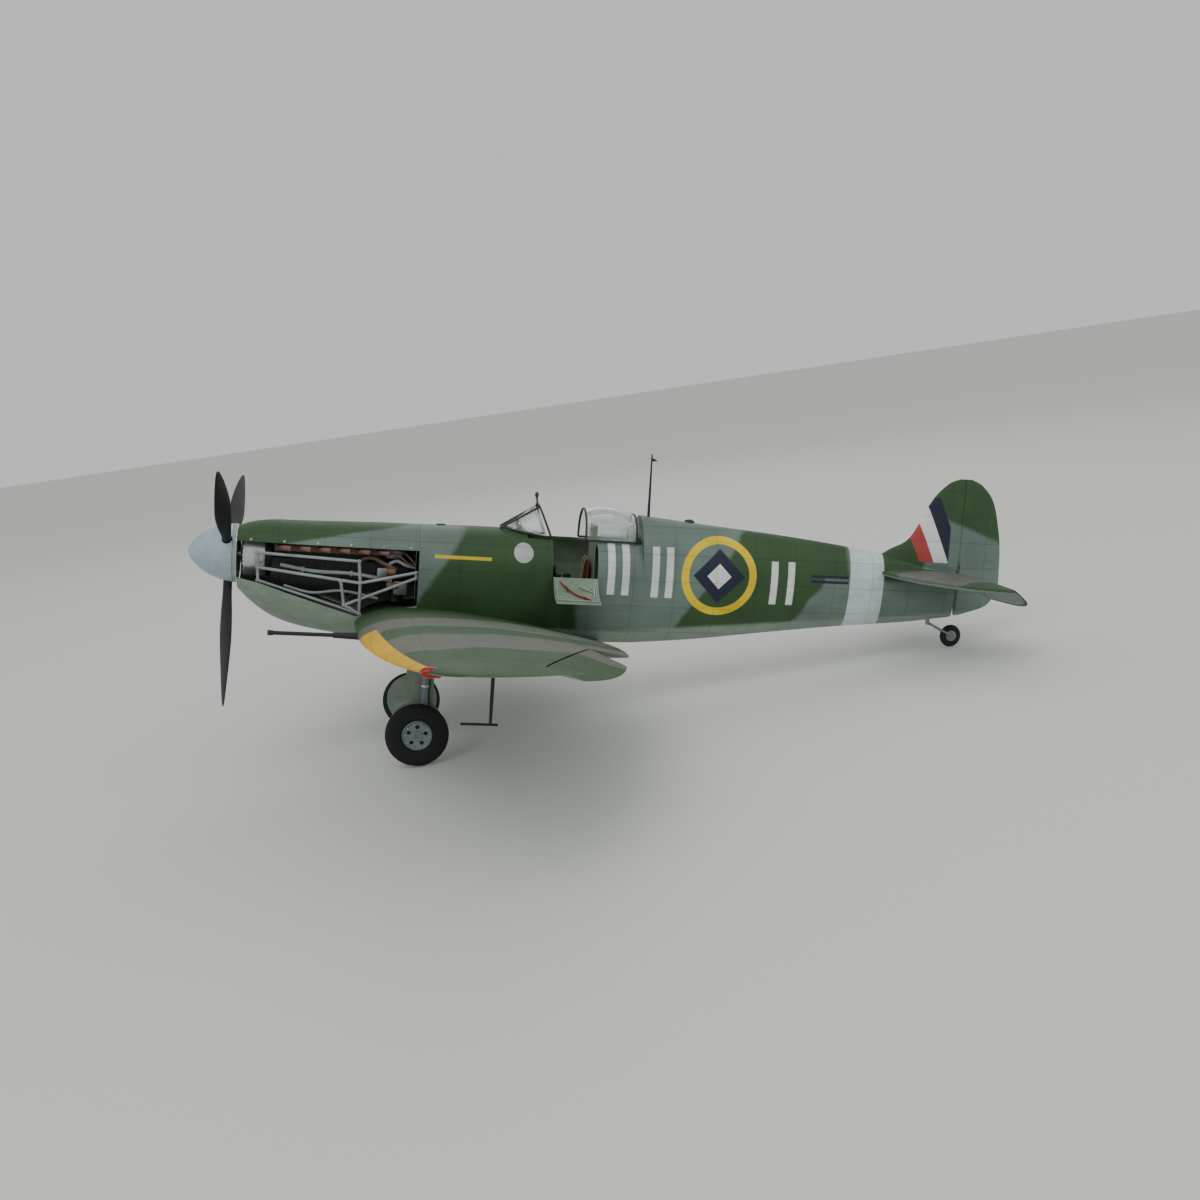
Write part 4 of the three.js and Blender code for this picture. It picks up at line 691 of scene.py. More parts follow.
def body_paint():
    """Two upper colours in sweeping areas over a pale belly, a tail band and plain markings."""
    _, weave, shader, vector = begin("body camouflage")
    tints = colours()
    yellow, navy, white = tuple(tints.ring), tuple(tints.dark_mark), tuple(tints.pale_mark)
    x, _, z = weave.axes(vector)
    bent = weave.math("ADD", x, weave.times(weave.less(weave.noise(vector, 0.018, 3.0), 0.5), 26.0))

    def beyond(edge, slope, soft=4.0):
        """1 aft of the line x = edge + slope z, softened."""
        return weave.step(weave.less(bent, weave.times(z, slope)), edge - soft, edge + soft)

    def between(start, end):
        return weave.times(beyond(*start), weave.less(1.0, beyond(*end)))

    def bar(low, high, value=x, edge=0.5):
        """1 where the value is between low and high."""
        return weave.times(weave.step(value, low - edge, low + edge),
                           weave.step(value, high - edge, high + edge, 1.0, 0.0))

    def inside(value, limit, soft):
        return weave.step(value, limit - soft, limit + soft, 1.0, 0.0)

    rise = weave.less(z, weave.times(bent, 0.2))
    crest = weave.step(weave.math("ADD", z, weave.times(bent, 0.32)), 345.0, 352.0)
    green = weave.times(weave.step(rise, -7.0, -3.5), weave.less(1.0, beyond(245, 0.6)))
    for area in (
        between(*CABIN_GREEN), between(*MIDDLE_GREEN),
        weave.times(between(*REAR_GREEN), weave.step(z, 2.0, 12.0)),
        weave.times(between(*ROOT_GREEN), weave.step(z, 2.0, 10.0)),
        weave.times(crest, beyond(790, 0)),
        weave.times(weave.step(z, 24.0, 30.0), weave.less(1.0, beyond(778, 0.54)), beyond(745, 0)),
    ):
        green = weave.math("MAXIMUM", green, area)
    colour = weave.blend(green, tuple(tints.grey), tuple(tints.green))
    aft_slope = weave.times(weave.math("MAXIMUM", weave.less(x, 450.0), 0.0), 0.085)
    belly = weave.step(weave.less(z, aft_slope), -60.0, -66.0)
    colour = weave.blend(belly, colour, tuple(tints.underside))
    colour = weave.blend(bar(*TAIL_BAND), colour, tuple(tints.band))

    off_x, off_z = weave.less(x, RING_X), weave.less(z, RING_Z)
    apart = weave.distance(off_x, off_z)
    diamond = weave.math("ADD", weave.math("ABSOLUTE", off_x), weave.math("ABSOLUTE", off_z))
    ring = weave.times(inside(apart, RING_OUTER, 0.5),
                       weave.step(apart, RING_INNER - 0.5, RING_INNER + 0.5))
    colour = weave.blend(ring, colour, yellow)
    for radius, tint in ((30.0, navy), (14.0, white)):
        colour = weave.blend(inside(diamond, radius, 0.6), colour, tint)
    for x0, x1, z0, z1, dark in BARS:
        colour = weave.blend(weave.times(bar(x0, x1), bar(z0, z1, z)), colour, navy if dark else white)
    colour = weave.blend(weave.times(bar(255, 315), bar(9, 12.5, z), 0.85), colour, yellow)
    disc = weave.distance(weave.less(x, SERVICE_DISC_X), weave.less(z, SERVICE_DISC_Z))
    colour = weave.blend(inside(disc, SERVICE_DISC_RADIUS, 0.4), colour, linear(178, 184, 180))
    lean = weave.math("ADD", x, weave.times(z, 0.45))
    on_fin = weave.times(bar(30, 105, z), inside(x, 846.5, 0.5))
    for low, high, tint in ((824, 842, tuple(tints.accent)), (842, 860, white), (860, 878, navy)):
        colour = weave.blend(weave.times(bar(low, high, lean), on_fin), colour, tint)
    finish_paint(weave, shader, vector, colour, 0.5, 0.55, panels=(sizes().panel_pitch * 1000, 29.0))


def wing_paint():
    """The wings' camouflage: bands across the span above, a pale lower side, and a yellow strip
    along the outer leading edge, from attributes that follow the section."""
    _, weave, shader, vector = begin("wing camouflage")
    x, y, _ = weave.axes(vector)
    share, lower = (weave.add("ShaderNodeAttribute", attribute_name=name).outputs["Fac"]
                    for name in ("chord_share", "lower_side"))
    outboard = weave.math("ABSOLUTE", y)
    warp = weave.times(weave.less(weave.noise(vector, 0.012, 3.0), 0.5), 70.0)
    aft = weave.times(weave.less(x, 300.0), 0.55)
    swept = weave.math("ADD", weave.math("ADD", outboard, warp), aft)
    inner = weave.step(swept, 135.0, 143.0, 1.0, 0.0)
    outer = weave.step(swept, 405.0, 413.0)
    middle = weave.times(weave.step(swept, 232.0, 240.0), weave.step(swept, 300.0, 308.0, 1.0, 0.0))
    green = weave.math("MAXIMUM", weave.math("MAXIMUM", inner, outer), middle)
    tints = colours()
    colour = weave.blend(green, tuple(tints.wing_grey), tuple(tints.green))
    yellow = weave.times(weave.step(outboard, 262.0, 264.0), weave.step(outboard, 528.0, 530.0, 1.0, 0.0),
                         weave.step(share, 0.055, 0.062, 1.0, 0.0))
    colour = weave.blend(weave.step(lower, 0.3, 0.6), colour, tuple(tints.underside))
    colour = weave.blend(yellow, colour, tuple(tints.leading_edge))
    flat = weave.add("ShaderNodeMapping")
    flat.inputs["Rotation"].default_value = (math.radians(90), 0, 0)
    weave.feed(flat.inputs["Vector"], vector)
    finish_paint(weave, shader, flat.outputs[0], colour, 0.6, 1.3, panels=(38.0, 46.0))


def plain(name, tint, rough, amount, metallic, chip):
    """One painted or moulded finish with tone, streaks, chips and grain."""
    material, weave, shader, vector = begin(name)
    low, high = ((*(min(1.0, share * value) for value in tint[:3]), 1.0) for share in (0.86, 1.12))
    base = weave.blend(weave.noise(vector, 0.08, 3.0), low, high)
    finish_paint(weave, shader, vector, base, rough, amount, chip)
    if metallic is not None:
        for link in list(shader.inputs["Metallic"].links):
            material.node_tree.links.remove(link)
        shader.inputs["Metallic"].default_value = metallic


def clear_paint():
    """Clear moulded glazing with a faint haze of handling."""
    _, weave, shader, vector = begin("clear glazing")
    haze = weave.noise(vector, 0.12, 5.0)
    tint = weave.blend(haze, linear(226, 236, 238), linear(244, 248, 248))
    weave.feed(shader.inputs["Base Color"], tint)
    weave.feed(shader.inputs["Roughness"], weave.step(haze, 0.3, 0.8, 0.03, 0.12))
    weave.feed(shader.inputs["Alpha"], weave.step(haze, 0.3, 0.8, 0.4, 0.55))
    for name, value in (("Metallic", 0.0), ("Transmission Weight", 1.0), ("Coat Weight", 0.6),
                        ("IOR", 1.49)):
        shader.inputs[name].default_value = value


def make_materials():
    """Every material of the model: name, display colour, roughness, wear, metal and chip colour."""
    body_paint()
    wing_paint()
    clear_paint()
    for name, tint, rough, amount, metallic, chip in (
        ("blade black", (30, 31, 33), 0.48, 0.4, None, (120, 122, 122)),
        ("dark engine", (50, 50, 52), 0.5, 0.9, 0.5, (140, 136, 128)),
        ("bright alloy", (190, 192, 194), 0.32, 0.4, 0.85, (90, 90, 90)),
        ("plate steel", (128, 132, 132), 0.42, 0.7, 0.7, (70, 66, 60)),
        ("tube grey", (150, 158, 160), 0.45, 0.7, None, (70, 72, 72)),
        ("interior green", (120, 136, 116), 0.6, 0.6, None, (158, 160, 156)),
        ("seat brown", (92, 42, 34), 0.55, 0.6, None, (130, 110, 96)),
        ("black fitting", (34, 35, 38), 0.5, 0.4, None, (110, 110, 110)),
        ("tyre rubber", (30, 31, 33), 0.78, 0.3, None, (60, 60, 60)),
        ("frame green", (50, 66, 48), 0.5, 0.5, None, BARE),
        ("battery wrap", (44, 78, 150), 0.35, 0.2, None, (90, 110, 160)),
        ("strap webbing", (150, 140, 112), 0.8, 0.3, None, (120, 112, 90)),
        ("lens red", (150, 24, 20), 0.18, 0.1, None, (120, 30, 26)),
        ("lens green", (20, 110, 60), 0.18, 0.1, None, (30, 90, 50)),
        ("dial face", (206, 208, 200), 0.4, 0.1, None, (60, 60, 60)),
        ("tool red", (128, 44, 34), 0.45, 0.7, None, (150, 150, 146)),
    ):
        plain(name, linear(*tint), rough, amount, metallic, chip)
    tints = colours()
    plain("spinner paint", tints.spinner, 0.42, 0.2, None, (120, 126, 128))
    plain("exhaust metal", tints.exhaust, 0.58, 0.9, 0.55, (70, 60, 56))
    plain("leg grey", tints.leg, 0.42, 0.6, None, (66, 68, 70))
    plain("pale underside", tints.underside, 0.52, 0.7, None, (90, 96, 96))


# ---- Pieces ----
RING_POINTS, COWL_STATIONS = 96, 44
# The inner skin steps up to the deck a wall aft of the outer skin's step, and ends short of the stern.
DECK_INNER_X, STERN_INNER_X = 482.0, 844.0
# The cowls' split lines: a level one, and a broken one of x and z along the chin.
UPPER_SPLIT_Z, COWL_GAP = 15.2, 0.15
CHIN_SPLIT = [[47, -22], [75, -27], [175, -58], [244, -42]]


def cowl_shell(name):
    """The cowl's skin as a ring of sections: outer stations forward to aft, inner ones back."""
    wall = sizes().cowl_wall * 1000
    outer = np.linspace(COWL_FRONT, FIREWALL - 0.3, COWL_STATIONS)
    rings = np.concatenate([body_rings(FRONT_ROWS, outer, RING_POINTS, 0),
                            body_rings(FRONT_ROWS, outer[::-1], RING_POINTS, -wall)])
    inner = np.zeros(len(rings) * RING_POINTS, int)
    inner[COWL_STATIONS * RING_POINTS:-RING_POINTS] = 1
    return surface(name, rings, (MATERIALS["body camouflage"], MATERIALS["interior green"]), True, inner)


def make_skins():
    """The fuselage shell with its cockpit and door openings, and the three cowls."""
    materials = MATERIALS["body camouflage"], MATERIALS["interior green"]
    wall = sizes().body_wall * 1000
    front = np.linspace(FIREWALL, CABIN_REAR, 40)
    aft = np.linspace(CABIN_REAR, STERN, 60)
    inner_aft = np.linspace(DECK_INNER_X, STERN_INNER_X, 30)
    outer = np.concatenate([body_rings(FRONT_ROWS, front, RING_POINTS, 0),
                            body_rings(AFT_ROWS, aft, RING_POINTS, 0)])
    inside = np.concatenate([
        body_rings(FRONT_ROWS, np.r_[front[:-1], DECK_INNER_X], RING_POINTS, -wall),
        body_rings(AFT_ROWS, inner_aft, RING_POINTS, -wall)])
    rings = np.concatenate([outer[::-1], inside])
    faces = np.zeros((len(rings) - 1) * RING_POINTS, int)
    faces[len(outer) * RING_POINTS:] = 1
    shell = surface("fuselage_skin", rings, materials, indices=faces)
    carve(shell, [surface("tool", block(354, 480, -25.5, 25.5, 8, 43.5)),
                  surface("tool", block(381, 430, -60, -15, -5, 60))])
    fit(shell, "airframe", "camouflage_green", "fuselage_shell")

    split, gap = UPPER_SPLIT_Z, COWL_GAP
    edge = CHIN_SPLIT[::-1]
    lower = [[0, -200], [244, -200], *[[x, z - gap] for x, z in edge], [0, -22 - gap]]
    side = [[0, split - gap], [244, split - gap], *[[x, z + gap] for x, z in edge], [0, -22 + gap]]
    top = cowl_shell("upper_cowl_skin")
    carve(top, [surface("tool", block(0, 244, -90, 90, split + gap, 90))], "INTERSECT")
    fit(top, "airframe", "camouflage_green", "upper_cowl")
    chin = cowl_shell("lower_cowl_skin")
    carve(chin, [surface("tool", prism(lower, 1, -90, 90))], "INTERSECT")
    chin.data.materials[0] = MATERIALS["pale underside"]
    fit(chin, "airframe", "underside_grey", "lower_cowl")
    starboard = cowl_shell("right_cowl_skin")
    carve(starboard, [surface("tool", prism(side, 1, 0, 90))], "INTERSECT")
    carve(starboard, [surface("tool", block(88, 215, 20, 90, 6.5, 90))])
    fit(starboard, "airframe", "camouflage_green", "right_side_cowl")


def section_marks(made):
    """Writes the chord share and which side of the camber line each point of a wing is on."""
    x, y, z = datum_points(made)
    lead, chord = wing_at(np.abs(y))[:2]
    middle, half = wing_skin(x, np.abs(y))
    write_marks(made, (x - lead) / chord, np.clip((middle - z) / half, 0, 1))


def wing_line(side, ends, count=8):
    """A straight hinge line between two places, with the wing's half thickness along it."""
    (x0, y0), (x1, y1) = ends
    first = [x0, side * y0, float(wing_skin(x0, y0)[0])]
    last = [x1, side * y1, float(wing_skin(x1, y1)[0])]
    share = np.linspace(0, 1, count)
    line = np.outer(1 - share, first) + np.outer(share, last)
    return line, wing_skin(line[:, 0], np.abs(line[:, 1]))[1]


LEG_X, PIVOT_Z, FOLD_ANGLE = 250.0, -68.0, 96.0
AXLE_X, AXLE_Z, WHEEL_Y, LEG_Y = 243.7, -170.6, 87.0, 75.9
# The pocket's radius and roof, the cover's room beside the leg, and how far outboard each begins.
WELL_RADIUS, WELL_ROOF_Y, CHANNEL_Y, COVER_Y, WELL_DEPTH = 34.65, 94.4, 81.3, 73.1, 30.0


def wheel_well(side):
    """The folded wheel's pocket and the leg's channel, turned up from the lowered place."""
    inner = side * (LEG_Y - WELL_DEPTH)
    pocket = turned([[inner, WELL_RADIUS], [side * WELL_ROOF_Y, WELL_RADIUS]], 1, (AXLE_X, 0, AXLE_Z), 72)
    channel = block(LEG_X - 7, LEG_X + 7, *sorted((inner, side * CHANNEL_Y)), AXLE_Z, PIVOT_Z)
    strip = prism([[241.2, -78.2], [258.8, -78.2], [263.8, -165.6], [230.2, -165.6]], 1,
                  *sorted((inner, side * COVER_Y)))
    pivot = [0, side * LEG_Y, PIVOT_Z], [1, side * LEG_Y, PIVOT_Z]
    folded = [turn_about(rings, *pivot, side * FOLD_ANGLE) for rings in (pocket, channel, strip)]
    socket = block(LEG_X - 10, LEG_X + 10, *sorted((side * (LEG_Y - 8), side * (LEG_Y + 8))), -400,
                   PIVOT_Z + 5.4)
    return [surface("tool", rings) for rings in (*folded, socket)]


def make_wings():
    """Each wing with its wheel well, and the aileron and flap cut from the same sections."""
    paint = MATERIALS["wing camouflage"]
    aileron_ends = [(float(sum(wing_at(y)[:2])) - chord, y) for y, chord in
                    ((AILERON_INNER_Y, AILERON_INNER_CHORD), (AILERON_OUTER_Y, AILERON_OUTER_CHORD))]
    normal = [0, 0, 1]
    for name, side in (("left", -1), ("right", 1)):
        outboards = 0.15 + (HALF_SPAN * TIP_SHARE - 0.15) * np.sin(np.linspace(0, math.pi / 2, 46))
        rings = wing_rings(side, outboards)
        aileron, aileron_radii = wing_line(side, aileron_ends)
        flap, flap_radii = wing_line(side, ((FLAP_HINGE_X, FLAP_INNER_Y), (FLAP_HINGE_X, FLAP_OUTER_Y)))
        wing = surface(f"wing_skin_{name}", rings, (paint,))
        spaces = [surface("tool", hinge_rings(line, radii, normal, NOSE_GAP))
                  for line, radii in ((aileron, aileron_radii), (flap, flap_radii))]
        carve(wing, [*spaces, *wheel_well(side)])
        section_marks(wing)
        fit(wing, "airframe", "camouflage_grey", f"wing_{name}")
        for part, line, radii in (("aileron", aileron, aileron_radii), ("flap", flap, flap_radii)):
            made = surface(f"{part}_skin_{name}", rings, (paint,))
            space = hinge_rings(inset_line(line, END_GAP), radii, normal, 0)
            carve(made, [surface("tool", space)], "INTERSECT")
            section_marks(made)
            if part == "aileron":
                turn_piece(made, line[0], line[-1], -AILERON_DROOP)
            fit(made, f"{part}_{name}", "camouflage_grey", f"{part}_{name}")


TAILPLANE_HALF_SPAN, TAILPLANE_Z, TAIL_THICKNESS = 157.0, 15.5, 0.09
ELEVATOR_HINGE_X, RUDDER_HINGE_X = STERN - 3, STERN + 4.5
FIN_FOOT_Z, FIN_SHOULDER_X, FIN_SHOULDER_Z = 22.0, RUDDER_HINGE_X - 3.5, 31.5
# The hinge nose of the rudder is slim below the fin, where the stern is narrow.
RUDDER_SLIM_Z, RUDDER_SLIM_RADIUS, RUDDER_MOST_RADIUS = 30.0, 3.6, 9.0


def tail_edges(outboards):
    """Leading and trailing edge of the tailplane: powers of the span share about the tip."""
    share = outboards / TAILPLANE_HALF_SPAN
    tip = ELEVATOR_HINGE_X + 3
    return tip - 95 * (1 - share ** 2.2) ** 0.5, tip + 38 * (1 - share ** 4.5) ** 0.5


def tail_radii(lead, trail, hinge):
    """The section's half thickness at the hinge, between two edges."""
    return foil_half((hinge - lead) / (trail - lead), TAIL_THICKNESS) * (trail - lead) + FOIL_EDGE


def tail_marks(made):
    """Chord share and lower side for the flat tail surfaces."""
    lower = np.clip((TAILPLANE_Z - datum_points(made)[2]) / 1.5, 0, 1)
    write_marks(made, lower * 0 + 0.5, lower)


def make_tail():
    """The fin and rudder from one set of upright sections, then the tailplanes and elevators."""
    body, paint = MATERIALS["body camouflage"], MATERIALS["wing camouflage"]
    heights = np.linspace(TAIL_ROWS[0, 0], TAIL_ROWS[-1, 0], 64)
    lead, trail = keyed(TAIL_ROWS, heights).T

    def upright(xs, offsets):
        return np.stack([xs, offsets, np.broadcast_to(heights[:, None], xs.shape)], -1)

    rings = even_rings(STERN + lead, STERN + trail, TAIL_THICKNESS, upright)
    levels = np.array([-40, 0, 28, 31, 60, 90, 110, 133.0])
    radii = tail_radii(*keyed(TAIL_ROWS, levels).T, RUDDER_HINGE_X - STERN)
    slim = np.where(levels < RUDDER_SLIM_Z, RUDDER_SLIM_RADIUS, RUDDER_MOST_RADIUS)
    radii = np.minimum(radii, slim)
    line = np.stack([np.full(8, RUDDER_HINGE_X), np.zeros(8), levels], -1)
    sideways = [0, 1, 0]
    rudder = surface("rudder_skin", rings, (body,))
    carve(rudder, [surface("tool", hinge_rings(line, radii, sideways, 0))], "INTERSECT")
    fit(rudder, "rudder", "camouflage_grey", "rudder")
    fin = surface("fin_skin", rings, (body,))
    carve(fin, [surface("tool", hinge_rings(line, radii, sideways, NOSE_GAP)),
                surface("tool", block(700, 1000, -50, 50, -100, FIN_FOOT_Z)),
                surface("tool", block(FIN_SHOULDER_X, 1000, -50, 50, -100, FIN_SHOULDER_Z))])
    fit(fin, "airframe", "camouflage_green", "fin")

    joiner = rod((ELEVATOR_HINGE_X, -12, TAILPLANE_Z), (ELEVATOR_HINGE_X, 12, TAILPLANE_Z), 1.6)
    halves = [surface("joiner", joiner)]
    for name, side in (("left", -1), ("right", 1)):
        outboards = 0.5 + (TAILPLANE_HALF_SPAN * 0.998 - 0.5) * np.sin(np.linspace(0, math.pi / 2, 34))
        edges = tail_edges(outboards)

        def level(xs, offsets, across=side * outboards):
            return np.stack([xs, np.broadcast_to(across[:, None], xs.shape), TAILPLANE_Z + offsets], -1)

        plane_rings = even_rings(*edges, TAIL_THICKNESS, level)
        stations = np.linspace(7.5, TAILPLANE_HALF_SPAN + 3, 9)
        lead, trail = tail_edges(np.minimum(stations, TAILPLANE_HALF_SPAN * 0.97))
        radii = tail_radii(lead, trail, ELEVATOR_HINGE_X)
        line = np.stack([np.full(9, ELEVATOR_HINGE_X), side * stations, np.full(9, TAILPLANE_Z)], -1)
        elevator = surface("half", plane_rings, (paint,))
        room = prism([[855, 0], [926, 0], [926, side * 48], [858, side * 8.5]], 2, 0, 40)
        space = hinge_rings(inset_line(line, 1), radii, [0, 0, 1], 0)
        carve(elevator, [surface("tool", space)], "INTERSECT")
        halves.append(carve(elevator, [surface("tool", room)]))
        plane = surface(f"tailplane_skin_{name}", plane_rings, (paint,))
        behind = block(852.4, 958, *sorted((0, side * 10.5)), 0, 40)
        space = hinge_rings(line, radii, [0, 0, 1], NOSE_GAP)
        carve(plane, [surface("tool", space), surface("tool", behind)])
        tail_marks(plane)
        fit(plane, "airframe", "camouflage_green", f"tailplane_{name}")
    elevators = halves[1]
    carve(elevators, [halves[0], halves[2]], "UNION")
    elevators.name = elevators.data.name = "elevator_skin"
    tail_marks(elevators)
    turn_piece(elevators, (ELEVATOR_HINGE_X, 0, TAILPLANE_Z), (ELEVATOR_HINGE_X, 1, TAILPLANE_Z),
               ELEVATOR_DROOP)
    fit(elevators, "elevators", "camouflage_grey", "elevators")


def blade_rings(angle):
    """A blade's sections: lens shapes of the keyed chord and thickness, turned by the pitch."""
    distance = np.r_[np.linspace(11.7, 150, 40), np.linspace(152, 164, 12)]
    chord, thickness, pitch = keyed(BLADE_ROWS, distance).T[..., None]
    around = np.linspace(0, TAU, 32, endpoint=False)
    along, proud = chord / 2 * np.cos(around), thickness / 2 * np.sin(around)
    cosine, sine = np.cos(np.radians(pitch)), np.sin(np.radians(pitch))
    rings = np.stack([HUB_X + along * sine - proud * cosine, along * cosine + proud * sine,
                      np.broadcast_to(distance[:, None], along.shape)], -1)
    return turn_about(rings, [0, 0, 0], [1, 0, 0], angle)


FIRST_BLADE_ANGLE, SPINNER_LENGTH, SPINNER_WALL, BLADE_HOLE_RADIUS = 57, 49.6, 1.3, 5.4


def make_propeller():
    """The spinner, a turned profile with an inner skin and three holes, and its three blades."""
    along = np.r_[np.linspace(0, 6, 12), np.linspace(7, SPINNER_LENGTH, 34)]
    profile = np.column_stack([along, keyed(SPINNER_ROWS, along)[:, 0]])
    inner = np.column_stack([profile[6:, 0] + SPINNER_WALL,
                             np.maximum(profile[6:, 1] - SPINNER_WALL, 0.2)])[::-1]
    inner[0, 0] = SPINNER_LENGTH
    spinner = surface("spinner_skin", turned(np.concatenate([profile, inner]), 0, (0, 0, 0), 96),
                      (MATERIALS["spinner paint"],))
    angles = [FIRST_BLADE_ANGLE + 120 * k for k in range(3)]
    hole = rod((HUB_X, 0, 2), (HUB_X, 0, 40), BLADE_HOLE_RADIUS, 32)
    carve(spinner, [surface("tool", turn_about(hole, [0, 0, 0], [1, 0, 0], angle)) for angle in angles])
    fit(spinner, "propeller", "spinner_paint", "spinner")
    for k, angle in enumerate(angles):
        blade = surface(f"blade_skin_{k + 1}", blade_rings(angle), (MATERIALS["blade black"],))
        fit(blade, "propeller", "blade_black", f"blade_{k + 1}", degrees=50)
    seam = turned([[47.2, 30.5], [47.2, 31.2], [48.0, 31.25], [48.0, 30.5]], 0, (0, 0, 0), 96)
    fit(surface("spinner_backplate_rim", seam, (MATERIALS["plate steel"],)), "propeller", "plate_steel")


TYRE_HALF_WIDTH, TYRE_RADIUS, TYRE_BORE = 6.5, 32.85, 16.1
TREAD_PITCH, TREAD_DEPTH, TREAD_REACH = 2.6, 0.7, 4.4
HUB_BOLT_RADIUS = 12.4


def tyre_profile():
    """A tyre's section: a cosine of the angle across, raised to a power for square shoulders, less a
    clipped cosine of the place across for the tread's grooves."""
    half, bore = TYRE_HALF_WIDTH, TYRE_BORE
    angle = np.linspace(-0.5, 0.5, 41) * math.pi
    across = half * np.sin(angle)
    bulge = bore + 3 + (TYRE_RADIUS - bore - 3) * np.abs(np.cos(angle)) ** 0.55
    tread = np.clip(np.cos(across * TAU / TREAD_PITCH), 0.35, 1) - 1
    bulge += TREAD_DEPTH * tread * (np.abs(across) < TREAD_REACH)
    return np.concatenate([[[-half * 0.72, bore], [-half * 0.95, bore + 1.4]],
                           np.column_stack([across, bulge]),
                           [[half * 0.95, bore + 1.4], [half * 0.72, bore]]])


def make_wheels():
    """The tyres and hubs, the legs with their covers, hoses and bands, and the tail wheel."""
    for name, side in (("left", -1), ("right", 1)):
        ring = turned(tyre_profile(), 1, (AXLE_X, side * WHEEL_Y, AXLE_Z), 120)
        tyre = surface(f"tyre_tread_{name}", ring, (MATERIALS["tyre rubber"],), wrap_rows=True)
        fit(tyre, f"wheel_{name}", "tyre_rubber", f"tyre_{name}")
        refined(f"hub_{name}", MATERIALS["leg grey"], degrees=35)
        bolts = []
        for a in np.linspace(0, TAU, 10, endpoint=False):
            x, z = AXLE_X + HUB_BOLT_RADIUS * math.cos(a), AXLE_Z + HUB_BOLT_RADIUS * math.sin(a)
            bolts.append(rod((x, side * (WHEEL_Y + 4.2), z), (x, side * (WHEEL_Y + 5.9), z), 0.8, 6))
        fit(many(f"hub_bolts_{name}", bolts, (MATERIALS["bright alloy"],)), f"wheel_{name}", "leg_paint")
        refined(f"gear_leg_{name}", MATERIALS["leg grey"])
        refined(f"gear_fairing_{name}", MATERIALS["pale underside"], bevel=0.0003)
        y = side * LEG_Y
        hose = pipe([(LEG_X + 4.6, y, -82), (LEG_X + 5.2, y + side, -105), (LEG_X + 4.4, y, -130),
                     (LEG_X + 5.6, y + side * 2, -150), (LEG_X + 1, y + side * 3.2, -163)], 0.7, 40, 10)
        bands = [turned([[z, 3.5], [z, 4.3], [z + 2.2, 4.3], [z + 2.2, 3.5]], 2, (LEG_X, y, 0), 28)
                 for z in (-96.0, -122.0, -147.0)]
        fit(many(f"leg_bands_{name}", bands, (MATERIALS["bright alloy"],)), f"gear_{name}", "leg_paint")
        fit(surface(f"brake_hose_{name}", hose, (MATERIALS["black fitting"],)), f"gear_{name}",
            "black_plastic")
    refined("tail_wheel_fork", MATERIALS["leg grey"])
    refined("tail_wheel", MATERIALS["tyre rubber"], degrees=25)
    rim = [turned([[s * 2.9, 0.9], [s * 3.4, 1.6], [s * 3.4, 5.6], [s * 2.6, 6.8]], 1, (861, 0, -55.2), 40)
           for s in (-1, 1)]
    fit(many("tail_wheel_rims", rim, (MATERIALS["leg grey"],)), "tail_wheel", "tyre_rubber")


# The row of six exhaust ports: the manifold's ends, and the x of each port's middle.
PORTS_FRONT, PORTS_REAR = 86.0, 209.0
PORTS = [PORTS_FRONT + 9 + (PORTS_REAR - PORTS_FRONT - 22) / 5 * k for k in range(6)]
# The bearer's joints on the starboard side, and the pairs of them that a tube joins.
BEARER_JOINTS = ((73, 30, 4.4), (74, 26.5, -25), (177, 36, 1), (179, 35.5, -22), (179, 24.5, -56),
                 (236.8, 37, -8), (236.8, 36, -14), (163, 27, -47), (73.5, 29, -11), (159, 34.5, -21))
BEARER_BARS = ((0, 1), (0, 2), (2, 3), (3, 4), (1, 4), (3, 5), (7, 6), (5, 6), (8, 3), (9, 7), (7, 4))
# Pipes of the engine bay, starboard side: points, radius, rings along and points round.
COOLANT_PATHS = (
    ([(96, 21, -8), (130, 22, -13), (170, 21, -14), (212, 17, -20)], 2.0, 50, 14),
    ([(100, 18, -30), (128, 20.5, -36), (160, 19, -33), (198, 15, -40)], 1.5, 50, 12),
    ([(205, 20, -4), (216, 24, 2), (226, 25, -2), (236, 24, -4)], 1.8, 40, 12),
)
BAY_PATHS = (
    ([(180, 19, 2), (190, 22, 4), (204, 22, -2), (216, 20, -8)], 2.3, 40, 12),
    ([(206, 26, 10), (218, 28, 8), (228, 27, 0), (236, 26, -2)], 1.1, 30, 10),
    ([(214, 20, 14), (222, 26, 12), (230, 30, 6), (236, 31, -1)], 0.8, 30, 8),
)


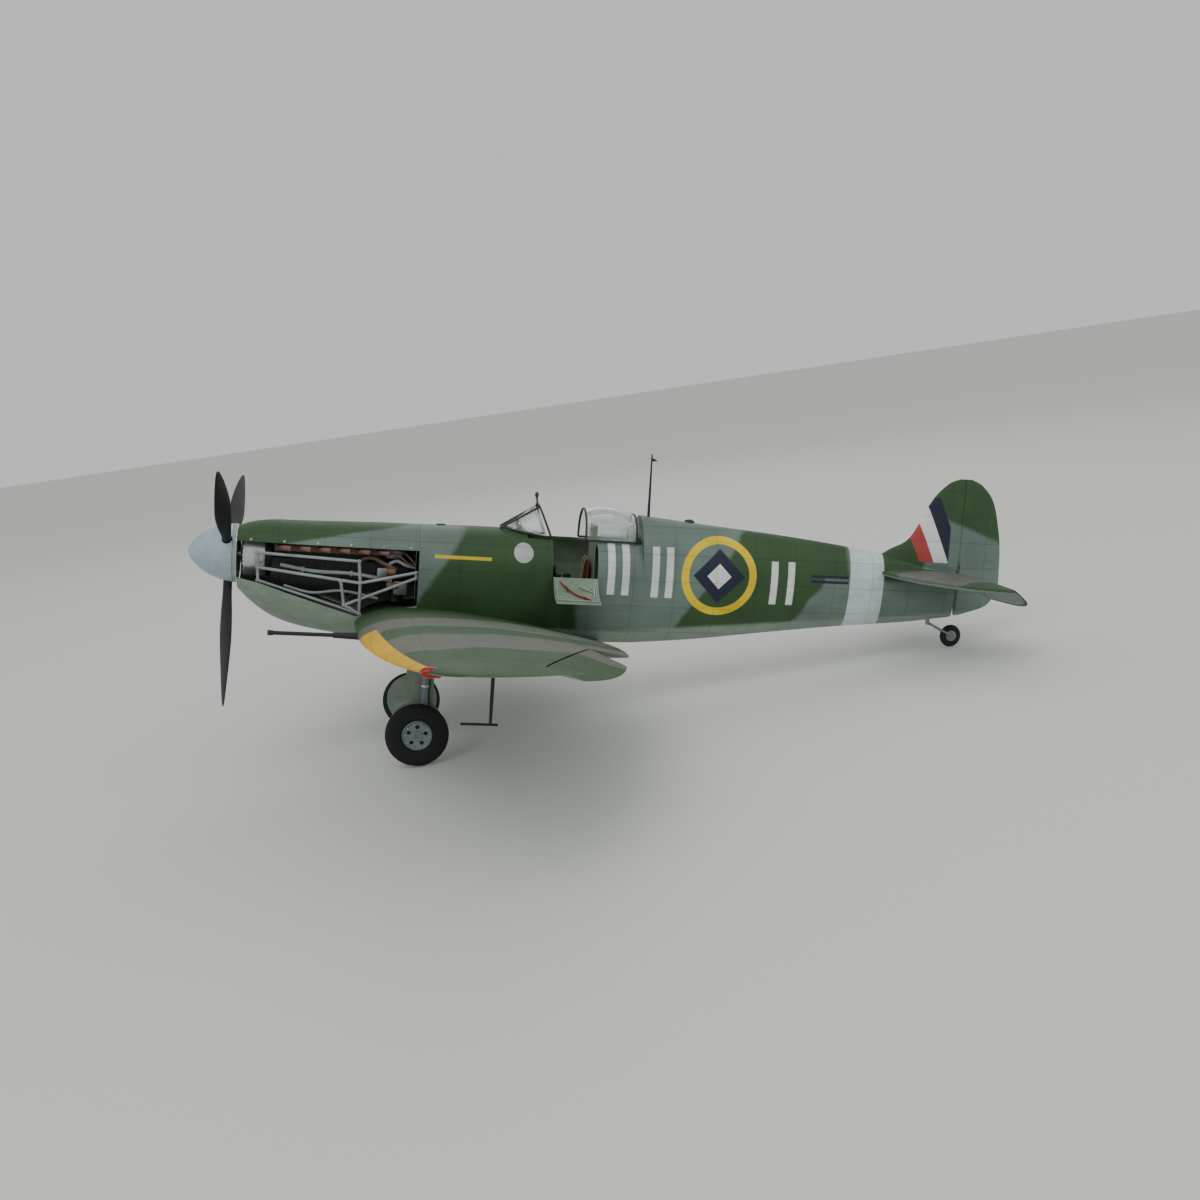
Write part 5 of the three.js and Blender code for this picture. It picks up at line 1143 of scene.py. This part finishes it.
def make_engine():
    """The engine and, on each side, its exhausts, bearers, leads, pipes, webs and accessories."""
    for name, side in (("left", -1), ("right", 1)):
        stubs = []
        front, rear = PORTS_FRONT, PORTS_REAR
        for x in PORTS:
            path = [(x, side * 20.6, 10), (x + 0.6, side * 27, 10.6), (x + 4, side * 31.4, 10.8),
                    (x + 9, side * 33.8, 10.5), (x + 12, side * 34.6, 10.4)]
            stubs.append(pipe(path, sizes().stub_radius * np.linspace(860, 1000, 26), 26, 16))
            stubs.append(soft_block(x - 3.6, x + 3.6, *sorted((side * 20.2, side * 21.6)), 6.6, 13.4, 0.4))
        stubs.append(soft_block(front + 4, rear - 5, *sorted((side * 19.2, side * 20.4)), 6.8, 13.2, 0.4))
        fit(many(f"exhaust_stubs_{name}", stubs, (MATERIALS["exhaust metal"],)), "airframe",
            "exhaust_metal", f"exhaust_{name}")

        joints = [(x, side * y, z) for x, y, z in BEARER_JOINTS]
        tube = sizes().bearer_radius * 1000
        bars = [rod(joints[a], joints[b], tube, 16) for a, b in BEARER_BARS]
        for joint in joints:
            bars.append(pipe([np.add(joint, (-2.3, 0, 0)), joint, np.add(joint, (2.3, 0, 0))],
                             tube * np.array([0.7, 1.55, 0.7]), sides=14, smooth=False))
        fit(many(f"bearer_tubes_{name}", bars, (MATERIALS["tube grey"],)), "airframe",
            "tube_paint", f"engine_bearer_{name}")
        refined(f"cylinder_bank_{name}", MATERIALS["dark engine"], bevel=0.0006)
        leads = []
        for x in PORTS:
            leads.append(pipe([(x, side * 9.5, 23), (x + 2, side * 15.5, 22.5), (x + 3, side * 19, 17.5),
                               (x + 3, side * 18.6, 14.5)], sizes().lead_radius * 1000, 24, 8))
        leads.append(pipe([(front + 2, side * 8.4, 24.4), (140, side * 9, 24.8), (rear + 4, side * 8, 22),
                           (rear + 12, side * 5, 12)], 1.3, 60, 10))
        fit(many(f"spark_leads_{name}", leads, (MATERIALS["black fitting"],)), "airframe", "black_plastic")
        pipes = [pipe([(x, side * y, z) for x, y, z in path], radius, count, sides)
                 for path, radius, count, sides in COOLANT_PATHS]
        pipes += [turned([[x, 2.2], [x, 2.9], [x + 2.4, 2.9], [x + 2.4, 2.2]], 0, (0, side * y, z), 20)
                  for x, y, z in ((118, 21.9, -11.8), (168, 21.1, -13.9))]
        fit(many(f"coolant_pipes_{name}", pipes, (MATERIALS["tube grey"],)), "airframe", "tube_paint")
        fins = [soft_block(x, x + 1.6, *sorted((side * 14.6, side * 17.4)), -22, -4, 0.3)
                for x in np.arange(94, 202, 9.0)]
        fit(many(f"crankcase_webs_{name}", fins, (MATERIALS["dark engine"],)), "airframe", "dark_metal")
        bay = [turned([[0, 0.3], [0.4, 4.6], [9, 5.2], [12, 4.2], [14, 0.3]], 0, (203, side * 22, -10), 28),
               turned([[0, 0.3], [0.5, 3.4], [11, 3.6], [13, 0.3]], 0, (206, side * 27, -24), 24)]
        bay += [pipe([(x, side * y, z) for x, y, z in path], radius, count, sides)
                for path, radius, count, sides in BAY_PATHS]
        fit(many(f"bay_plumbing_{name}", bay, (MATERIALS["exhaust metal"],)), "airframe", "exhaust_metal")
        boxes = [soft_block(196, 206, *sorted((side * 22.5, side * 29)), -16, -6, 0.7),
                 soft_block(214, 228, *sorted((side * 14, side * 26)), -34, -20, 1.0),
                 soft_block(205, 222, *sorted((side * 10, side * 22)), 4, 15, 1.0)]
        fit(many(f"accessories_{name}", boxes, (MATERIALS["plate steel"],)), "airframe", "plate_steel")
    refined("engine_block", MATERIALS["dark engine"], bevel=0.0)
    refined("drive_motor", MATERIALS["bright alloy"])
    refined("propeller_hub", MATERIALS["bright alloy"])
    rim = [[58, 21.6], [58, 23.4], [60.6, 23.8], [78, 23.8], [80, 22.6], [80, 21.6]]
    ring = turned(rim, 0, (0, 0, 0), 72)
    places = [(18.4 * math.cos(a), 18.4 * math.sin(a)) for a in np.linspace(0, TAU, 12, endpoint=False)]
    bolts = [rod((56.6, y, z), (58.4, y, z), 1.1, 6) for y, z in places]
    fit(many("gear_case_ring", [ring, *bolts], (MATERIALS["bright alloy"],)), "airframe", "bright_alloy")
    refined("firewall", MATERIALS["plate steel"])


def hood(name, rows, wall, material, count=34):
    """A glazed hood: half an ellipse over the deck at each keyed station, raised to a power so
    the sides stand steep, with its inner skin a wall's thickness below."""
    stations = np.linspace(rows[0][0], rows[-1][0], count)
    half, base, top = keyed(rows, stations).T[..., None]
    angle = np.linspace(0, math.pi, 40)

    def skin(inset):
        xs = np.broadcast_to(stations[:, None], (count, 40))
        return np.stack([xs, (half - inset) * np.cos(angle),
                         base + (top - inset - base) * np.clip(np.sin(angle), 0, 1) ** 0.8], -1)

    loops = np.concatenate([skin(0), skin(wall)[:, ::-1]], 1)
    rows_, columns = loops.shape[:2]
    points = place(loops).reshape(-1, 3)
    quads = grid_faces(rows_, columns)
    ends = []
    for start, flip in ((0, False), ((rows_ - 1) * columns, True)):
        i = np.arange(39)
        quad = np.stack([start + i, start + i + 1, start + columns - 2 - i, start + columns - 1 - i], -1)
        ends.append(quad if flip else quad[:, ::-1])
    faces = np.concatenate([quads, *ends])
    if enclosed(points - points.mean(0), faces) < 0:
        faces = faces[:, ::-1]
    return mesh_object(name, points, faces.tolist(), (material,))


def make_glazing():
    """The sliding canopy's hood, the rear glazing, and the refined windscreen and frames."""
    clear, wall = MATERIALS["clear glazing"], sizes().hood_wall * 1000
    front, half, base, top = 416.0, 27.6, 34.2, 72.2
    canopy = hood("canopy_hood", [
        [front + 2.4, half - 0.4, base + 2.2, top - 3.8], [front + 16, half, base + 2.2, top - 0.6],
        [front + 30, half, base + 2.2, top], [front + 44, half - 0.3, base + 2.2, top - 3],
        [front + 55.6, half - 0.8, base + 2.2, top - 7.2]], wall, clear)
    fit(canopy, "canopy", "clear_plastic", "canopy_glass", degrees=60)
    rear = hood("rear_glazing", [
        [front + 17, half - 3.4, base - 2.4, top - 10.4], [front + 40, half - 3.4, base - 2.4, top - 10.8],
        [479.7, half - 3.4, base - 2.4, top - 13]], wall, clear)
    fit(rear, "airframe", "clear_plastic", "rear_glass", degrees=60)
    refined("windscreen_glass", clear)
    refined("windscreen_frame", MATERIALS["frame green"], degrees=70, grow=0.00035)
    refined("canopy_frame", MATERIALS["frame green"], degrees=70, grow=0.0003)


def make_cockpit():
    """The cockpit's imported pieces, refined, with dials, straps, a sight and side controls."""
    refined("cockpit_tub", MATERIALS["interior green"], bevel=0.0003)
    refined("seat", MATERIALS["seat brown"], bevel=0.0007)
    refined("instrument_panel", MATERIALS["black fitting"], bevel=0.0004)
    refined("control_stick", MATERIALS["black fitting"])
    refined("aerial_mast", MATERIALS["black fitting"])
    refined("cockpit_door", MATERIALS["interior green"])
    dials = []
    for y, z in ((-14, 16), (-7, 18), (0, 16), (7, 18), (14, 16), (-10, 7), (-2, 7), (6, 7), (13, 6)):
        dials.append(turned([[356.9, 2.6], [357.9, 2.5], [358.1, 1.9]], 0, (0, y, z), 24))
    fit(many("panel_dials", dials, (MATERIALS["dial face"],)), "airframe", "black_plastic")
    straps = []
    for y in (-6.5, 6.5):
        path = [(423.4, y, 16), (421.2, y, 12.6), (419.6, y, 5), (418.8, y * 0.8, -8), (415, y * 0.6, -24)]
        centre = smooth_path(path, 24)
        width = np.array([0, 1.9, 0])
        straps.append(np.stack([centre - width, centre + width, centre + width + (-0.5, 0, 0),
                                centre - width + (-0.5, 0, 0)], 1))
    sight = [soft_block(343, 350, -4, 4, 40.5, 47, 0.8), soft_block(344, 345, -4.6, 4.6, 47, 53.5, 0.3),
             rod((349, 0, 36), (349, 0, 41), 1.6, 12)]
    fit(many("gun_sight", sight, (MATERIALS["black fitting"],)), "airframe", "black_plastic")
    fit(many("seat_straps", straps, (MATERIALS["strap webbing"],)), "airframe", "seat_brown")
    consoles = [soft_block(366, 378, -22.2, -17.4, -13.6, -8, 0.6),
                soft_block(372, 377, 17.4, 22, -13.6, -6, 0.6),
                soft_block(384, 398, 17.6, 22, -13.6, -9, 0.6),
                soft_block(402, 410, 17.8, 22, -13.6, -7, 0.6),
                rod((386, -19.5, -13), (388, -19.5, -2), 0.8, 10),
                rod((390, -19.5, -13), (393, -19.5, -4), 0.8, 10)]
    make_door_gear()
    fit(many("side_controls", consoles, (MATERIALS["black fitting"],)), "airframe", "black_plastic")


def make_door_gear():
    """The escape bar, its clips and the latch on the open door's inner face."""
    def face(x, share, lift):
        """A place over the open door's inner face: from its sill (0) to its free edge (1)."""
        y, z = keyed([[0, -46, -6.4], [0.2, -50.2, -10.2], [0.55, -63.6, -22.2], [1, -77, -26.2]],
                     np.array([share]))[0]
        return (x, y - 0.4 * lift, z + 0.9 * lift)

    bar = [face(388, 0.16, 1.2), face(392, 0.3, 1.5), face(404, 0.52, 1.7), face(416, 0.75, 1.5),
           face(420, 0.9, 1.2)]
    taper = np.r_[np.linspace(0.5, 1.1, 6), np.full(22, 1.1), 0.6, 0.3]
    fit(surface("escape_bar", pipe(bar, taper, 30, 12), (MATERIALS["tool red"],)), "door", "interior_green")
    clips = [pipe([face(x, share - 0.08, 0.4), face(x, share, 2.9), face(x, share + 0.08, 0.4)],
                  0.45, 14, 8) for x, share in ((395, 0.36), (413, 0.7))]
    ribs = [pipe([face(x, t, 0.5) for t in (0.06, 0.3, 0.6, 0.9)], 0.7, 24, 8) for x in (384.5, 426.5)]
    ribs.append(pipe([face(384.5, 0.9, 0.5), face(405, 0.9, 0.5), face(426.5, 0.9, 0.5)], 0.7, 12, 8))
    latch = [rod(face(424, 0.42, 0.6), face(408, 0.3, 1.4), 0.8, 10),
             rod(face(424, 0.6, 0.6), face(424, 0.3, 1.2), 1.0, 10)]
    fit(many("door_ribs", [*ribs, *latch], (MATERIALS["tube grey"],)), "door", "interior_green")
    fit(many("bar_clips", clips, (MATERIALS["black fitting"],)), "door", "interior_green")


CATCH_STATIONS, CATCH_Z, LAMP_Y = (66, 100, 134, 168, 202, 230), 17.4, 536.0


def make_fittings():
    """Guns, coolers, radio gear, tip lamps, spine fittings and the cowls' catches."""
    for name in ("cannon_left", "cannon_right"):
        refined(name, MATERIALS["dark engine"], degrees=50)
    refined("pitot_tube", MATERIALS["black fitting"])
    for name in ("oil_cooler", "radiator"):
        refined(name, MATERIALS["pale underside"], degrees=45)
    for name, tint in (("battery", "battery wrap"), ("speed_controller", "black fitting"),
                       ("receiver", "black fitting"), ("elevator_servo", "black fitting"),
                       ("rudder_servo", "black fitting")):
        refined(name, MATERIALS[tint], bevel=0.0005)
    for name, side, tint in (("left", -1, "lens red"), ("right", 1, "lens green")):
        lead = float(wing_at(LAMP_Y)[0])
        height = float(wing_skin(lead, LAMP_Y)[0])
        lamp = turned([[-4, 0.2], [-3.6, 2.2], [-1.6, 3.6], [3, 4.2], [9, 3.6], [14, 0.3]], 0,
                      (lead + 1.5, side * LAMP_Y, height), 28)
        fit(surface(f"tip_lamp_{name}", lamp, (MATERIALS[tint],)), "airframe", "camouflage_grey")
    cap = [[40.6, 0.2], [42.2, 4.6], [43.0, 5.2], [43.6, 5.0], [43.8, 0.2]]
    filler = turned(cap, 2, (262, 0, -1.1), 36)
    hump = turned([[-6, 0.2], [-5, 1.6], [-2, 2.7], [2, 2.7], [5, 1.4], [6.4, 0.2]], 0, (537, 0, 60.2), 24)
    fit(many("spine_fittings", [filler, hump], (MATERIALS["frame green"],)), "airframe", "camouflage_green")
    catches = []
    for side, x in [(side, x) for side in (-1, 1) for x in CATCH_STATIONS]:
        top, _, half, widest = keyed(FRONT_ROWS, np.array([x]))[0]
        y = half * math.sqrt(1 - ((CATCH_Z - widest) / (top - widest)) ** 2)
        catch = turned([[y - 0.8, 1.3], [y + 0.35, 1.3], [y + 0.5, 0.9]], 1, (x, 0, CATCH_Z), 18)
        catches.append(catch * (1, side, 1))
    fit(many("cowl_catches", catches, (MATERIALS["bright alloy"],)), "airframe", "bright_alloy")


# ---- Stage ----
CAMERA_PLACE = np.array([178.28, -1423.28, 146.34])
CAMERA_TURN = (0.1288, 0.0575, 0.1786)
CAMERA_LENS, SENSOR = 39.345, 36.0


def camera_axes():
    """Right, down and forward in the datum: a level side view turned by a small rotation vector."""
    level = np.array([[1, 0, 0], [0, 0, -1], [0, 1, 0]], float)
    vector = np.array(CAMERA_TURN)
    angle = np.linalg.norm(vector)
    k = vector / angle
    cross = np.array([[0, -k[2], k[1]], [k[2], 0, -k[0]], [-k[1], k[0], 0]])
    turn = np.eye(3) + math.sin(angle) * cross + (1 - math.cos(angle)) * cross @ cross
    return level @ turn


def look(made, eye, target):
    """Sets a lamp at the eye, facing the target."""
    direction = Vector(target) - Vector(eye)
    made.location = eye
    made.rotation_euler = direction.to_track_quat("-Z", "Y").to_euler()


FLOOR_REACH, FLOOR_DROP = 40.0, 0.0005


def make_stage():
    """A wide floor just under the wheels, an even backdrop, three soft lamps and the camera."""
    u = np.linspace(-FLOOR_REACH, FLOOR_REACH, 25)
    grid = np.stack(np.meshgrid(u, u, indexing="ij"), -1)
    points = np.concatenate([grid, np.full(grid.shape[:2] + (1,), -FLOOR_DROP)], -1).reshape(-1, 3)
    material = bpy.data.materials.new("floor")
    material.use_nodes = True
    shader = material.node_tree.nodes["Principled BSDF"]
    shader.inputs["Base Color"].default_value = tuple(colours().floor)
    shader.inputs["Roughness"].default_value = 0.9
    floor = mesh_object("floor", points, grid_faces(25, 25, wrap_columns=False).tolist(), (material,))
    world = bpy.data.worlds.new("studio")
    world.use_nodes = True
    backdrop = world.node_tree.nodes["Background"]
    backdrop.inputs["Color"].default_value = (0.66, 0.675, 0.65, 1)
    backdrop.inputs["Strength"].default_value = 1.0
    bpy.context.scene.world = world
    for name, eye, size, power in (("key", (-1.4, -2.4, 3.2), 2.6, 46),
                                   ("fill", (2.4, -1.8, 1.6), 2.4, 16),
                                   ("rim", (0.6, 2.6, 2.4), 2.0, 14)):
        lamp = bpy.data.lights.new(name, "AREA")
        lamp.energy, lamp.size = power, size
        made = bpy.data.objects.new(name, lamp)
        bpy.context.scene.collection.objects.link(made)
        look(made, eye, (0, 0, 0.12))
    right, down, forward = camera_axes()
    to_frame = np.column_stack([AFT, STARBOARD, UP])
    axes = np.column_stack([to_frame @ right, -to_frame @ down, -to_frame @ forward])
    camera = bpy.data.objects.new("camera", bpy.data.cameras.new("camera"))
    bpy.context.scene.collection.objects.link(camera)
    camera.data.lens, camera.data.sensor_width = CAMERA_LENS, SENSOR
    camera.data.clip_end = 100
    eye = place(CAMERA_PLACE)
    camera.matrix_world = Matrix([[*map(float, axes[i]), float(eye[i])] for i in range(3)] + [[0, 0, 0, 1]])
    bpy.context.scene.camera = camera


# ---- Add-on classes ----
def colour_property(name, description, default):
    """A colour with alpha, in linear light."""
    return FloatVectorProperty(name=name, description=description, default=default, size=4,
                               subtype="COLOR", min=0.0, max=1.0)


def length_property(name, description, default):
    """A length in metres."""
    return FloatProperty(name=name, description=description, default=default, min=0.0001,
                         unit="LENGTH", subtype="DISTANCE")


class ModelColours(PropertyGroup):
    """Paint colours of the airframe, in linear light."""

    green: colour_property("Green", "Dark green of the upper surfaces", linear(50, 78, 46))
    grey: colour_property("Grey", "Blue-grey of the upper surfaces", linear(102, 120, 112))
    wing_grey: colour_property("Wing grey", "Weathered grey of the wings' upper surfaces", linear(96, 102, 92))
    underside: colour_property("Underside", "Pale grey of the lower surfaces", linear(132, 146, 134))
    band: colour_property("Band", "Pale band round the rear fuselage", linear(196, 206, 212))
    ring: colour_property("Ring", "Ring on the fuselage side", linear(224, 196, 30))
    leading_edge: colour_property("Leading edge", "Strip along the outer leading edge", linear(226, 176, 18))
    dark_mark: colour_property("Dark marking", "Dark parts of the markings", linear(28, 34, 58))
    pale_mark: colour_property("Pale marking", "Pale parts of the markings", linear(218, 222, 224))
    accent: colour_property("Accent", "Brick red stripe on the fin", linear(168, 62, 62))
    spinner: colour_property("Spinner", "Paint of the spinner", linear(158, 176, 188))
    leg: colour_property("Undercarriage", "Paint of the legs and wheel hubs", linear(122, 130, 138))
    exhaust: colour_property("Exhaust", "Scorched metal of the exhaust stubs", linear(134, 104, 92))
    floor: colour_property("Floor", "The studio floor", (0.7, 0.715, 0.69, 1.0))


class ModelSizes(PropertyGroup):
    """Sizes of the dressed model that the assembly's own pieces do not fix."""

    body_wall: length_property("Fuselage wall", "Thickness of the fuselage skin", 0.002)
    cowl_wall: length_property("Cowl wall", "Thickness of the engine cowls", 0.0014)
    hood_wall: length_property("Glazing wall", "Thickness of the blown glazing", 0.001)
    bearer_radius: length_property("Bearer tube radius", "Radius of the engine bearer tubes", 0.0016)
    stub_radius: length_property("Exhaust radius", "Radius of an exhaust stub at its mouth", 0.0029)
    lead_radius: length_property("Lead radius", "Radius of a spark lead", 0.00075)
    panel_pitch: length_property("Panel pitch", "Distance between panel joints along the fuselage", 0.047)


def build(operator, made):
    """Runs one builder and stops the script when it leaves nothing behind."""
    before = len(bpy.data.objects) + len(bpy.data.materials)
    made()
    if len(bpy.data.objects) + len(bpy.data.materials) <= before:
        raise RuntimeError(f"{operator.bl_label} made nothing")
    return {"FINISHED"}


class MODEL_OT_materials(Operator):
    """Make the paint, metal, rubber and glazing materials"""

    bl_idname = "warbird.materials"
    bl_label = "Materials"

    def execute(self, context):
        return build(self, make_materials)


class MODEL_OT_skins(Operator):
    """Make the fuselage skin and the engine cowls"""

    bl_idname = "warbird.skins"
    bl_label = "Fuselage and Cowls"

    def execute(self, context):
        return build(self, make_skins)


class MODEL_OT_wings(Operator):
    """Make the wings, ailerons and flaps"""

    bl_idname = "warbird.wings"
    bl_label = "Wings"

    def execute(self, context):
        return build(self, make_wings)


class MODEL_OT_tail(Operator):
    """Make the fin, rudder, tailplanes and elevators"""

    bl_idname = "warbird.tail"
    bl_label = "Tail"

    def execute(self, context):
        return build(self, make_tail)


class MODEL_OT_propeller(Operator):
    """Make the spinner and the three blades"""

    bl_idname = "warbird.propeller"
    bl_label = "Propeller"

    def execute(self, context):
        return build(self, make_propeller)


class MODEL_OT_wheels(Operator):
    """Make the undercarriage legs, wheels and tail wheel"""

    bl_idname = "warbird.wheels"
    bl_label = "Undercarriage"

    def execute(self, context):
        return build(self, make_wheels)


class MODEL_OT_engine(Operator):
    """Make the engine, its exhausts, bearers, leads and pipes"""

    bl_idname = "warbird.engine"
    bl_label = "Engine Bay"

    def execute(self, context):
        return build(self, make_engine)


class MODEL_OT_glazing(Operator):
    """Make the windscreen, sliding canopy and rear glazing"""

    bl_idname = "warbird.glazing"
    bl_label = "Glazing"

    def execute(self, context):
        return build(self, make_glazing)


class MODEL_OT_cockpit(Operator):
    """Make the cockpit tub, seat, controls, instruments and door"""

    bl_idname = "warbird.cockpit"
    bl_label = "Cockpit"

    def execute(self, context):
        return build(self, make_cockpit)


class MODEL_OT_fittings(Operator):
    """Make the coolers, guns, lamps, catches and radio gear"""

    bl_idname = "warbird.fittings"
    bl_label = "Fittings"

    def execute(self, context):
        return build(self, make_fittings)


class MODEL_OT_stage(Operator):
    """Make the floor, the soft lights and the camera"""

    bl_idname = "warbird.stage"
    bl_label = "Stage"

    def execute(self, context):
        return build(self, make_stage)


STEPS = (MODEL_OT_materials, MODEL_OT_skins, MODEL_OT_wings, MODEL_OT_tail, MODEL_OT_propeller,
         MODEL_OT_wheels, MODEL_OT_engine, MODEL_OT_glazing, MODEL_OT_cockpit, MODEL_OT_fittings,
         MODEL_OT_stage)


class MODEL_PT_panel(Panel):
    """Lists the steps in the order they run."""

    bl_idname = "MODEL_PT_panel"
    bl_label = "Model Fighter"
    bl_space_type = "VIEW_3D"
    bl_region_type = "UI"
    bl_category = "Model Fighter"

    def draw(self, context):
        for group in (context.scene.model_sizes, context.scene.model_colours):
            box = self.layout.box()
            for key in group.__annotations__:
                box.prop(group, key)
        for step in STEPS:
            self.layout.operator(step.bl_idname)


CLASSES = (ModelColours, ModelSizes, *STEPS, MODEL_PT_panel)


def register():
    for cls in CLASSES:
        bpy.utils.register_class(cls)
    bpy.types.Scene.model_colours = PointerProperty(type=ModelColours)
    bpy.types.Scene.model_sizes = PointerProperty(type=ModelSizes)


def unregister():
    del bpy.types.Scene.model_sizes
    del bpy.types.Scene.model_colours
    for cls in reversed(CLASSES):
        bpy.utils.unregister_class(cls)


def main():
    """Registers the add-on and runs its steps in order."""
    register()
    bpy.ops.warbird.materials()
    bpy.ops.warbird.skins()
    bpy.ops.warbird.wings()
    bpy.ops.warbird.tail()
    bpy.ops.warbird.propeller()
    bpy.ops.warbird.wheels()
    bpy.ops.warbird.engine()
    bpy.ops.warbird.glazing()
    bpy.ops.warbird.cockpit()
    bpy.ops.warbird.fittings()
    bpy.ops.warbird.stage()


if __name__ == "__main__":
    main()
